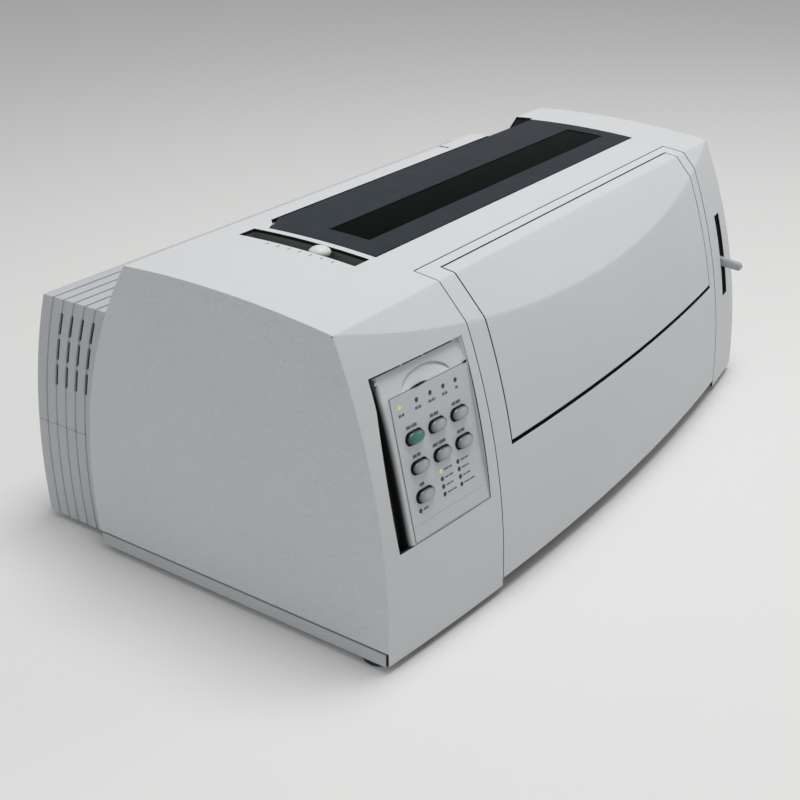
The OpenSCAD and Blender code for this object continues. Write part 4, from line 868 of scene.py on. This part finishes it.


# Slots 2 and 3 are the rims that the wall gives to slots 0 and 1, dark with painted gap shade
body = "case"
upper = buildPiece("upperCase", upperCasePatches(), [finishes["caseShell"], finishes["caseSide"],
                                                     finishes["gapShade"], finishes["gapShade"]],
                   body, ("left_side_panel", "right_side_panel", "top_shell", "left_column",
                          "right_column"), centre=(0, 140, 100))
weighEdges(upper, [(isCrease, 1.0), (isFacetArc, 1.0), (isTopBack, 0.35), (always, 0.45)])
finish(upper, soft=upperCase["soft"], wall=case["wall"], edge=upperCase["edge"], rim=2)
print("upper case made:", len(upper.data.polygons), "faces")

frontCover = dict(x0=-173.1, x1=235.1, z0=12.1, yEnd=65.4, holeX0=-153.9, holeX1=219.9,
                  holeZ=112.7, holeY=56.9, topY=(48.5, 53.0), soft=1.5, edge=0.45)
paperFlap = dict(x0=-153.0, x1=219.0, z0=115.7, topY=(48.5, 52.0), pivotY=55, rollR=2.2,
                 rollEnd=165, wall=1.6, soft=1.5, edge=0.4)


# Rows of x, y, z up the bowed front and the facet: level up to the last knot, then led to the arc
def bowedRows(xLine, zKnots, counts):
    last, end = zKnots[-1], case["creaseZ"] - case["lastKnot"]
    top = arcZ(xLine)
    rows = []
    for z in spaced([*zKnots, end], counts):
        line = np.where(z <= last, z, last + (top - last) * (z - last) / (end - last))
        line = line + 0 * xLine
        rows.append((xLine, frontY(xLine, line), line))
    y0 = frontY(xLine, top)
    for g in (0.25, 0.5, 0.75, 1.0):
        rows.append((xLine, y0 + (creaseY - y0) * g, top + (case["creaseZ"] - top) * g))
    return rows


# Rows on the top face, one for each y
def topRows(xLine, yValues):
    return [(xLine, y + 0 * xLine, float(topZ(y)) + 0 * xLine) for y in yValues]


# Rows round a rolled edge, angles in degrees from straight up towards the back
def rollRows(xLine, y, z, radius, angles):
    return [(xLine, y + radius * math.sin(a) + 0 * xLine, z + radius * math.cos(a) + 0 * xLine)
            for a in np.radians(angles)]


# A patch from rows of x, y and z
def rowsPatch(rows, keep=None, slot=0):
    x, y, z = (np.array([row[k] for row in rows]) for k in range(3))
    return [metres(x, y, z), gridFaces(*x.shape, keep).tolist(), slot]


# The middle of each cell between rows
def cellMiddles(rows):
    x, y, z = (np.array([row[k] for row in rows]) for k in range(3))
    return tuple((a[:-1, :-1] + a[1:, 1:]) / 2 for a in (x, y, z))


# The cover's sheet up the front, over the facet and onto the top, without the flap's opening
def frontCoverPatch():
    s = frontCover
    knots = [s["x0"], s["holeX0"], s["holeX1"], s["x1"]]
    line = spaced(knots, (3, 40, 3))
    rows = bowedRows(line, (s["z0"], s["holeZ"]), (12, 12))
    rows += topRows(line, [*s["topY"], s["holeY"], (s["holeY"] + s["yEnd"]) / 2, s["yEnd"]])
    x, y, z = cellMiddles(rows)
    hole = (x > s["holeX0"]) & (x < s["holeX1"]) & (z > s["holeZ"]) & (y < s["holeY"])
    return rowsPatch(rows, ~hole)


# The flap's sheet, from its lower edge up to its rolled edge
def paperFlapPatch():
    s = paperFlap
    line = np.linspace(s["x0"], s["x1"], 41)
    rows = bowedRows(line, (s["z0"], s["z0"] + 1), (1, 12))
    rows += topRows(line, [*s["topY"], s["pivotY"]])
    pivotZ = float(topZ(s["pivotY"])) - s["rollR"]
    rows += rollRows(line, s["pivotY"], pivotZ, s["rollR"], np.linspace(0, s["rollEnd"], 9)[1:])
    return rowsPatch(rows)


# The sheets' rims are dark with painted gap shade
sheets = [finishes["caseShell"], finishes["gapShade"]]
coverPiece = buildPiece("frontCover", [frontCoverPatch()], sheets, "front_cover",
                        ("front_cover",), centre=(0, 140, 60))
weighEdges(coverPiece, [(isCrease, 1.0), (isFacetArc, 1.0)])
finish(coverPiece, soft=frontCover["soft"], wall=case["wall"], edge=frontCover["edge"], rim=1)
flapPiece = buildPiece("paperFlap", [paperFlapPatch()], sheets, "front_flap",
                       ("front_flap",), centre=(0, 140, 60))
weighEdges(flapPiece, [(isCrease, 1.0), (isFacetArc, 1.0)])
finish(flapPiece, soft=paperFlap["soft"], wall=paperFlap["wall"], edge=paperFlap["edge"], rim=1)
print("front cover and flap made")

lid = dict(x0=-172.9, x1=234.9, y0=98.6, cutX=26, cutY=13, endY=208,
           cutSteps=(0, 0.35, 0.63, 0.865), windowX1=219, windowY0=120.5, windowY1=157.5,
           windowDrop=0.5, windowInset=0.15, windowWall=2.0, windowEdge=0.3,
           knuckleX=(-120, 130), knuckle=8, gap=0.4, rollR=2.2, rollEnd=160, rim=7,
           rimEndY=198.8, wall=2.5, soft=2.0, edge=0.5)
lid["pivotY"] = lid["endY"] - lid["rollR"]
lid["pivotZ"] = float(topZ(lid["pivotY"])) - lid["rollR"]


# The lid's sheet without window, cut corner and knuckle notches, and a rim straight down
def lidPatches():
    s = lid
    steps = np.array(s["cutSteps"])
    gaps = [x + d for x in s["knuckleX"] for d in (-s["gap"], s["knuckle"] + s["gap"])]
    xKnots = list(s["x0"] + s["cutX"] * steps) + gaps + [s["windowX1"], s["x1"]]
    line = spaced(xKnots, (1, 1, 1, 3, 1, 18, 1, 8, 3))
    cutY = s["endY"] - s["cutY"]
    yKnots = [s["y0"], s["windowY0"], s["windowY1"], cutY]
    ys = [*spaced(yKnots, (5, 6, 6)), *(cutY + s["cutY"] * steps[1:])]
    rows = topRows(line, ys)
    flat = len(rows) - 1
    first = math.degrees(math.asin((ys[-1] - s["pivotY"]) / s["rollR"]))
    rows += rollRows(line, s["pivotY"], s["pivotZ"], s["rollR"],
                     np.linspace(first, s["rollEnd"], 9)[1:])
    x, y, z = cellMiddles(rows)
    windowX0 = s["x0"] + s["cutX"] * steps[-1]
    window = (x > windowX0) & (x < s["windowX1"]) & (y > s["windowY0"]) & (y < s["windowY1"])
    column = np.arange(x.shape[1])[None, :]
    row = np.arange(x.shape[0])[:, None]
    start = flat - len(steps) + 1
    corner = (row - start >= column) & (column < len(steps) - 1)
    notches = np.zeros(x.shape, bool)
    for place in s["knuckleX"]:
        inside = (x > place - s["gap"]) & (x < place + s["knuckle"] + s["gap"])
        notches |= inside & (row >= flat - 1)
    faces = gridFaces(len(rows), len(line), ~(window | corner | notches)).tolist()
    cols = len(line)
    for k in range(len(steps) - 1):
        a = (start + k) * cols + k
        faces.append([a, a + 1, a + cols + 1])
    patches = [[rowsPatch(rows)[0], faces, 0]]
    # rim: the border line and a copy of it further down, dark with painted gap shade
    left = [(s["x0"], v) for v in ys[start::-1]] + [(v, s["y0"]) for v in line[1:]]
    left = [(s["x0"] + s["cutX"] * f, cutY + s["cutY"] * f) for f in steps[:0:-1]] + left
    left += [(s["x1"], v) for v in ys[1:] if v < s["rimEndY"]]
    bx, by = np.array(left).T
    bz = topZ(by)
    down = np.array([0, 0.5, 1])[:, None] * s["rim"]
    patches.append([metres(bx + 0 * down, by + 0 * down, bz - down),
                    gridFaces(3, len(bx)).tolist(), 1])
    return patches


def isLidFace(x, y, z):  # edges on the lid's face
    return abs(z - topZ(y)) < 0.5


# The window's sheet, a little below the lid's face
def windowPatch():
    s, inset = lid, lid["windowInset"]
    x = np.linspace(s["x0"] + s["cutX"] * s["cutSteps"][-1] + inset, s["windowX1"] - inset, 24)
    y = np.linspace(s["windowY0"] + inset, s["windowY1"] - inset, 6)[:, None]
    return gridPatch(metres(x[None, :], y, topZ(y) - s["windowDrop"]), 6, 24)


lidPiece = buildPiece("lidCover", lidPatches(), [finishes["lidCharcoal"], finishes["gapShade"]],
                      "lid", ("lid",), centre=(30, 150, 200))
weighEdges(lidPiece, [(isLidFace, 0.6)])
finish(lidPiece, soft=lid["soft"], wall=lid["wall"], edge=lid["edge"])
windowPiece = buildPiece("lidWindow", [windowPatch()], [finishes["windowGloss"]], "lid",
                         ("lid_window",), centre=(30, 140, 200))
finish(windowPiece, wall=lid["windowWall"], edge=lid["windowEdge"])
print("lid and window made")

insert = dict(gap=0.3, u1=40.5, w0=-50.9, w1=68, plateU0=-38.5, plateU1=39.5, plateW0=-50.1,
              plateTop=50, seat=1.6, strip=0.3, groove=0.45, leftGroove=0.8, channelV=10,
              wallU=-41.2, wallBend=4.5, wallRun=4.0, rampDrop=4.7, scoopU=-1.5, scoopHalf=24,
              scoopH=11.5, scoopDepth=2.0, shadeW=66.2, shadeEnd=33, breaks=(-18, 3.4),
              breakHalf=0.8, fade=(0.5, 3.0), lip=0.35, lipGap=0.5, lipFoot=0.08,
              grooveDeeper=0.6, rampStart=-1.4, step=0.02, sink=12.5, wallTop=10, wallLeast=0.4)


# u of the channel's left border and of the wall's lower and upper edge at height w
def wallLines(w):
    s = insert
    left = pocketLeft(w) + s["gap"]
    rise = np.clip((w - s["w0"]) / (s["plateTop"] + s["wallTop"] - s["w0"]), 0, 1)
    upper = s["wallU"] - s["wallBend"] * rise ** 4
    return left, np.maximum(upper - s["wallRun"], left + s["wallLeast"]), upper


# Depth behind the plate's face: the channel, its round wall, the plate's seat and the ramp
def insertDepth(u, w):
    s = insert
    v = np.full(np.broadcast(u, w).shape, s["strip"])
    onSeat = (u > s["plateU0"] - s["leftGroove"]) & (u < s["plateU1"] + s["groove"])
    onSeat &= (w < s["plateTop"] + s["groove"]) & (w > s["plateW0"])
    v = np.where(onSeat, s["seat"] + s["grooveDeeper"], v)
    ramp = (s["seat"] + s["rampStart"]
            + s["rampDrop"] * (w - s["plateTop"]) / (s["w1"] - s["plateTop"]))
    reach = np.clip((u - s["scoopU"]) / s["scoopHalf"], -1, 1)
    height = s["scoopH"] * np.sqrt(np.maximum(0, 1 - reach ** 2))
    up = (w - s["plateTop"]) / np.maximum(height, 0.01)
    scoop = s["scoopDepth"] * np.clip(up, 0, 1) ** 1.5 * (up < 1) * np.clip(height / 3, 0, 1)
    v = np.where(w >= s["plateTop"] + s["groove"], ramp + scoop, v)
    lower, upper = wallLines(w)[1:]
    t = np.clip((upper - u) / (upper - lower), 0, 1)
    rounded = v + (s["channelV"] - v) * (1 - np.sqrt(np.maximum(0, 1 - t ** 2)))
    return np.where(u < upper, rounded, v)


# The insert's face: a grid in u and w at insertDepth, with its border and lip
def insertPatches():
    s, g, step = insert, insert["groove"], insert["step"]
    seatU, seatEnd = s["plateU0"] - s["leftGroove"], s["plateU1"] + g
    plateEnd = s["plateTop"] + g
    wKnots = [s["w0"], s["plateW0"] - step, s["plateW0"] + step, plateEnd - step, plateEnd + step,
              s["plateTop"] + s["scoopH"] + 1, s["shadeW"], s["w1"]]
    w = spaced(wKnots, (2, 1, 20, 1, 50, 3, 3))
    uu = []
    for left, lower, upper in zip(*wallLines(w)):
        knots = [left, lower, upper, seatU - step, seatU + step, s["scoopU"] - s["scoopHalf"],
                 s["scoopU"] + s["scoopHalf"], seatEnd - step, seatEnd + step, s["u1"]]
        uu.append(spaced(knots, (2, 14, 2, 1, 8, 96, 8, 1, 1)))
    uu = np.array(uu)
    ww = w[:, None] + 0 * uu
    v = insertDepth(uu, ww)
    cellU, cellW = ((a[:-1, :-1] + a[1:, 1:]) / 2 for a in (uu, ww))
    # A band under the pocket's top edge, broken at two places, is black: painted shadow
    dark = (cellW > s["shadeW"]) & (cellU < s["shadeEnd"])
    for place in s["breaks"]:
        dark &= abs(cellU - place) > s["breakHalf"]
    points = metres(*onKeypad(uu, v, ww))
    patches = [[points, gridFaces(*uu.shape, ~dark).tolist(), 0],
               [points, gridFaces(*uu.shape, dark).tolist(), 1]]
    # outer border down into the case, black: painted shade
    border = ([(a, s["w0"]) for a in uu[0]] + [(s["u1"], b) for b in w[1:]]
              + [(a, s["w1"]) for a in uu[-1][-2::-1]]
              + list(zip(uu[-2::-1, 0], w[-2::-1])))
    bu, bw = np.array(border).T
    bv = insertDepth(bu, bw)
    down = np.array([0, 1])[:, None]
    patches.append([metres(*onKeypad(bu + 0 * down, bv + (s["sink"] - bv) * down, bw + 0 * down)),
                    gridFaces(2, len(bu)).tolist(), 1])
    # a lip up to the case's face along the foot and the right side
    first = int(np.argmin(abs(uu[0] - s["wallU"])))
    lu = np.concatenate([uu[0, first:], np.full(len(w) - 1, s["u1"])])
    lw = np.concatenate([np.full(uu.shape[1] - first, s["w0"]), w[1:]])
    side = np.concatenate([np.zeros(uu.shape[1] - first), np.ones(len(w) - 1)])
    top = caseDepth(lu, lw) + np.where((side > 0) & (lw < s["plateTop"]), s["lipGap"], s["lipFoot"])
    foot = insertDepth(lu, lw)
    out = s["lip"] * side
    lines = [(lu, foot, lw), (lu + out * 0.8, top, lw), (lu + out, top + 0.1, lw),
             (lu + out, top + 3, lw - 0.05 * (1 - side))]
    pu, pv, pw = (np.array([line[k] for line in lines]) for k in range(3))
    patches.append([metres(*onKeypad(pu, pv, pw)), gridFaces(*pu.shape).tolist(), 0])
    return patches


# u, v and w of every vertex of a piece
def keypadLocal(piece):
    spots = np.empty(len(piece.data.vertices) * 3)
    piece.data.vertices.foreach_get("co", spots)
    spots = spots.reshape(-1, 3) * 1000 - [0, case["footShift"], 0]
    local = (spots - keypadPlace) @ keypadTurn
    return local[:, 0], local[:, 1] - keypad["recess"], local[:, 2]


insertPiece = buildPiece("keypadInsert", insertPatches(),
                         [finishes["panelGrey"], finishes["blackPlasticAndShade"]], body,
                         ("control_panel",), centre=keypadInside)
pointU, pointV, pointW = keypadLocal(insertPiece)
# The channel's wall darkens with depth and the plate's grooves go dark: painted shade
fade = np.clip((pointV - insert["fade"][0]) / (insert["fade"][1] - insert["fade"][0]), 0, 1)
seated = (pointV > insert["seat"]) & (pointW < insert["plateTop"] + 1)
setRise(insertPiece, np.where(pointU < wallLines(pointW)[2], 1 - fade, 1.0 - seated))
print("keypad insert made")

button = dict(u0=-22.6, w0=19, pitchU=23, pitchW=20.4, halfL=8.6, halfW=4.5, skirtFoot=2.5,
              skirtTop=-1.9, top=-4.2, rings=14, turns=48, power=2.1, cap=0.94, paintedShadeCurve=1.4)
buttonPlaces = dict(start_button=(0, 0), line_feed_button=(1, 0), form_feed_button=(2, 0),
                    tear_off_button=(0, 1), load_button=(1, 1), tractor_button=(2, 1),
                    font_button=(0, 2))


def buttonSpot(place):  # u and w of a button from its column and row
    s = button
    return s["u0"] + s["pitchU"] * place[0], s["w0"] - s["pitchW"] * place[1]


# A superellipse: cosine and sine each raised to 2 over the power
def ovalRing(u, w, halfL, halfW, count, power):
    a = np.linspace(0, 2 * math.pi, count + 1)
    c, d = np.cos(a), np.sin(a)
    return (u + halfL * np.sign(c) * np.abs(c) ** (2 / power),
            w + halfW * np.sign(d) * np.abs(d) ** (2 / power))


# Ovals over each other: each pair of the profile gives the oval's share of its size and its depth
def ovalPatch(u0, w0, halfL, halfW, profile, turns, power, slot):
    rings = [ovalRing(u0, w0, halfL * share, halfW * share, turns, power) for share, depth in profile]
    u, w = (np.array([ring[k] for ring in rings]) for k in (0, 1))
    v = np.array([depth for share, depth in profile])[:, None] + 0 * u
    return [metres(*onKeypad(u, v, w)), gridFaces(*u.shape).tolist(), slot]


# A skirt dark with painted shade standing in the plate's hole and a crowned cap on it, a quarter turn in
# profile
def buttonPatches(place):
    s = button
    u0, w0 = buttonSpot(place)
    skirt = [(1.0, s["skirtFoot"]), (1.0, s["skirtTop"] + 0.5), (0.98, s["skirtTop"] + 0.1),
             (s["cap"], s["skirtTop"])]
    turns = [math.pi / 2 * k / s["rings"] for k in range(s["rings"] + 1)]
    lift = s["top"] - s["skirtTop"]
    cap = [(s["cap"] * math.cos(a), s["skirtTop"] + lift * math.sin(a)) for a in turns]
    return [ovalPatch(u0, w0, s["halfL"], s["halfW"], profile, s["turns"], s["power"], slot)
            for slot, profile in enumerate((skirt, cap))]


for name, place in buttonPlaces.items():
    cap = finishes["buttonGreen" if name == "start_button" else "buttonSilver"]
    piece = buildPiece(name.title().replace("_", "") + "Cap", buttonPatches(place),
                       [finishes["buttonSkirtShade"], cap], name, (name,),
                       centre=keypadInside, merge=1e-6)
    # The caps are painted dark at the rim and light at the crown: painted shade and highlight
    lift = (button["skirtTop"] - keypadLocal(piece)[1]) / (button["skirtTop"] - button["top"])
    setRise(piece, np.clip(lift, 0, 1) ** button["paintedShadeCurve"])
print("buttons made")

lights = dict(top=(-31, -14.4, -0.7, 12.7, 25.6), topW=42, columns=(-3.6, 14.4),
              rows=(-13, -18.5, -24, -29.5), corner=(-29.2, -31), radius=1.65, lift=0.45,
              foot=1.2, rings=6, turns=24)
lightPlaces = ([(u, lights["topW"]) for u in lights["top"]]
               + [(u, w) for u in lights["columns"] for w in lights["rows"]] + [lights["corner"]])
litPlaces = [lightPlaces[0], lightPlaces[5]]  # the first light of the top row and of the columns


# A flat half sphere on a short wall
def lensPatch(place, slot):
    s = lights
    turns = [math.pi / 2 * k / s["rings"] for k in range(s["rings"] + 1)]
    profile = [(1.0, s["foot"])] + [(max(math.cos(a), 0.001), -s["lift"] * math.sin(a)) for a in turns]
    return ovalPatch(*place, s["radius"], s["radius"], profile, s["turns"], 2.0, slot)


buildPiece("keypadLights", [lensPatch(p, int(p in litPlaces)) for p in lightPlaces],
           [finishes["lensDark"], finishes["lensLit"]], body, ("panel_lights",),
           centre=keypadInside, merge=1e-6)

# Lengths of the bars that stand in for words, and the ends, height and depth of the painted-shade slivers
marks = dict(lift=-0.07, base=0.05, bar=1.9, gap=0.6, edgeW=-39.5, edge=0.3, edgeInset=0.6,
             shades=((-19, -2, 50.9, 51.3, 1.8, -0.3), (35, 40.4, 50.7, 51.2, 1.8, -0.5)),
             topDrop=6.2, topBars=((2.6, 2.4), (2.6, 2.6), (3.0, 2.2, 0.7), (2.4, 2.4), (2.6,)),
             wordShift=-1, wordRise=6.9, wordBar=2.2,
             words=((4.0, 1.0, 4.2), (3.2, 4.6), (3.4, 4.8), (3.6, 3.4), (4.6, 1.0, 6.4),
                    (3.0, 4.0), (4.4,)),
             tailIn=2.9, tailDrop=0.5, tailBar=1.1,
             tails=(((4.6, 3.4), (3.2, 4.6), (4.0, 2.6), (5.2, 3.8)),
                    ((3.8, 3.6), (4.2, 2.4), (3.0, 3.8), (5.2, 5.4))),
             cornerIn=3.2, cornerDrop=0.6, cornerBar=1.4, cornerBars=(4.4,))


# A flat printed bar standing a hair off the plate
def barPatch(u0, u1, w0, w1, slot=0):
    s = marks
    u = np.array([u0, u1])[None, :]
    w = np.array([w0, w0, w1, w1])[:, None]
    v = np.array([s["base"], s["lift"], s["lift"], s["base"]])[:, None]
    return gridPatch(metres(*onKeypad(u + 0 * w, v + 0 * u, w + 0 * u)), 4, 2, slot=slot)


# A row of short bars, as a plain sign in place of a word
def markPatches(u0, w0, lengths, bar):
    patches = []
    for length in lengths:
        patches.append(barPatch(u0, u0 + length, w0, w0 + bar))
        u0 += length + marks["gap"]
    return patches


# A dark sliver of painted shade between (u0, w0) and (u1, w1), thick at its middle
def shadeSliver(u0, u1, w0, w1, height, depth):
    share = np.linspace(0, 1, 13)
    u, w = u0 + (u1 - u0) * share, w0 + (w1 - w0) * share
    half = height / 2 * np.sin(np.pi * share) ** 0.8 + 0.02
    return gridPatch(metres(*onKeypad(np.array([u, u]), depth, np.array([w - half, w + half]))),
                     2, len(share), slot=2)


# Bars under the top lights, over the buttons and beside the small lights, painted-shade slivers and a
# foot line
def keypadMarks():
    s, patches = marks, []
    for u, lengths in zip(lights["top"], s["topBars"]):
        patches += markPatches(u - sum(lengths) / 2, lights["topW"] - s["topDrop"], lengths, s["bar"])
    for place, lengths in zip(buttonPlaces.values(), s["words"]):
        u, w = buttonSpot(place)
        width = sum(lengths) + (len(lengths) - 1) * s["gap"]
        patches += markPatches(u + s["wordShift"] - width / 2, w + s["wordRise"], lengths,
                               s["wordBar"])
    for u, column in zip(lights["columns"], s["tails"]):
        for w, lengths in zip(lights["rows"], column):
            patches += markPatches(u + s["tailIn"], w - s["tailDrop"], lengths, s["tailBar"])
    u, w = lights["corner"]
    patches += markPatches(u + s["cornerIn"], w - s["cornerDrop"], s["cornerBars"], s["cornerBar"])
    patches += [shadeSliver(*place) for place in s["shades"]]
    return patches + [barPatch(insert["plateU0"] + s["edgeInset"], insert["plateU1"] - s["edgeInset"],
                               s["edgeW"], s["edgeW"] + s["edge"], 1)]


buildPiece("keypadMarks", keypadMarks(),
           [finishes["labelInk"], finishes["faintInk"], finishes["gapShade"]], body, (),
           centre=keypadInside, merge=1e-6)
print("keypad lights and marks made")

knuckles = dict(y=lid["pivotY"], z=240.274, radius=lid["rollR"], length=lid["knuckle"], turns=24)


# Closed cylinders along x, in the lid's notches
def knucklePatches():
    s, patches = knuckles, []
    a = np.linspace(0, 2 * math.pi, s["turns"] + 1)[None, :]
    for x0 in lid["knuckleX"]:
        x = np.array([x0, x0, x0 + s["length"], x0 + s["length"]])[:, None]
        r = np.array([0.01, s["radius"], s["radius"], 0.01])[:, None]
        patches.append(gridPatch(metres(x + 0 * a, s["y"] + r * np.cos(a), s["z"] + r * np.sin(a)),
                                 4, a.shape[1]))
    return patches


buildPiece("lidKnuckles", knucklePatches(), [finishes["lidCharcoal"]], body, (),
           merge=1e-6)

leverKnob = dict(x=-188.5, y=136, sink=2.0, radii=(7.9, 8.0, 4.6), power=2 / 1.7 / 1.3, rows=16,
                 turns=40, stemX=6, stemY=2.4, stemEnd=224.9)


def squared(value):  # a sine or cosine pushed outward, its sign kept
    return np.sign(value) * np.abs(value) ** leverKnob["power"]


# A low rounded lobe on a flat stem: an ellipsoid whose round plan is squared off
def leverKnobPatches():
    s = leverKnob
    z0 = float(topZ(s["y"])) - s["sink"]
    up = np.linspace(-math.pi / 2, math.pi / 2, s["rows"])[:, None]
    turn = np.linspace(0, 2 * math.pi, s["turns"] + 1)[None, :]
    lobe = metres(s["x"] + s["radii"][0] * np.cos(up) * squared(np.cos(turn)),
                  s["y"] + s["radii"][1] * np.cos(up) * squared(np.sin(turn)),
                  z0 + s["radii"][2] * np.sin(up) + 0 * turn)
    stemX = np.array([-1, 1, 1, -1, -1])[None, :] * s["stemX"] + s["x"]
    stemY = np.array([-1, -1, 1, 1, -1])[None, :] * s["stemY"] + s["y"]
    stemZ = np.array([s["stemEnd"], z0])[:, None]
    return [gridPatch(lobe, s["rows"], s["turns"] + 1),
            gridPatch(metres(stemX + 0 * stemZ, stemY + 0 * stemZ, stemZ + 0 * stemX), 2, 5)]


buildPiece("leverKnob", leverKnobPatches(), [finishes["ivoryPlastic"]], "thickness_lever",
           ("thickness_lever",), merge=1e-6)

ticks = dict(x0=-203.2, x1=-199.8, firstY=113.7, lastY=172.6, count=7, wide=0.8, lift=0.06,
             base=-0.05)


# Thin bars across the strip beside the slot, on the top's arc
def tickPatches():
    s, patches = ticks, []
    x = np.array([s["x0"], s["x1"]])[None, :]
    rise = np.array([s["base"], s["lift"], s["lift"], s["base"]])[:, None]
    for y0 in np.linspace(s["firstY"], s["lastY"], s["count"]):
        y = np.array([y0, y0, y0 + s["wide"], y0 + s["wide"]])[:, None]
        patches.append(gridPatch(metres(x + 0 * y, y + 0 * x, topZ(y) + rise + 0 * x), 4, 2))
    return patches


buildPiece("slotTicks", tickPatches(), [finishes["labelInk"]], body, (),
           centre=(0, 140, 100), merge=1e-6)
print("knuckles and ticks made")

# Solids that keep their own shape get a finish and rounded edges
plainNodes = dict(
    rearShell=("rear_cover", "rear_base_cover", "base_pan"), feetRubber=("feet",),
    plateFilm=("label_plate",), circuitBoard=("panel_board", "main_board"),
    ivoryPlastic=("platen_gear", "feed_pinion", "idler_pulley", "motor_pulley"),
    slotWall=("lever_guide",), leverGrey=("paper_lever",),
    steelRod=("cover_hinge_pins", "paper_lever_pivot", "platen_shaft", "carriage_shaft",
              "tractor_shaft", "tractor_rod"),
    steelSheet=("left_frame", "right_frame", "front_rail", "paper_guide", "power_supply"),
    platenRubber=("platen", "drive_belt"), motorCasing=("feed_motor", "carriage_motor"),
    darkPlastic=("platen_knob", "carriage", "ribbon_cartridge", "left_tractor", "right_tractor",
                 "interface_socket"),
    blackPlasticAndShade=("paper_exit_guide", "print_head", "left_tractor_door", "right_tractor_door",
                  "power_inlet", "power_switch"),
)
softer = dict(rear_cover=0.7, rear_base_cover=0.7, base_pan=0.8, feet=1.2, platen_knob=0.8,
              paper_lever=1.3, ribbon_cartridge=1.2, carriage=0.8, feed_motor=1.0,
              carriage_motor=1.0, power_supply=0.8, left_tractor=0.8, right_tractor=0.8,
              power_switch=0.5, main_board=0.15, panel_board=0.15, left_frame=0.3,
              right_frame=0.3, cover_hinge_pins=0.3)
flatNodes = ("label_plate", "lever_guide")
for key, nodes in plainNodes.items():
    for node in nodes:
        solid = bpy.data.objects[node]
        solid.data.materials.clear()
        solid.data.materials.append(finishes[key])
        if node in flatNodes:
            continue
        solid.data.polygons.foreach_set("use_smooth", [True] * len(solid.data.polygons))
        weld = solid.modifiers.new("weld", "WELD")
        weld.merge_threshold = 2e-6
        finish(solid, edge=softer.get(node, 0.4))
# Solids that a surface stands for get a plain finish
for node in ("front_cover", "front_flap", "lid", "lid_window", "left_side_panel",
             "right_side_panel", "top_shell", "left_column", "right_column", "control_panel",
             "panel_lights", "thickness_lever", *buttonPlaces):
    solid = bpy.data.objects[node]
    solid.data.materials.clear()
    solid.data.materials.append(finishes["caseShell"])
print("solids finished")
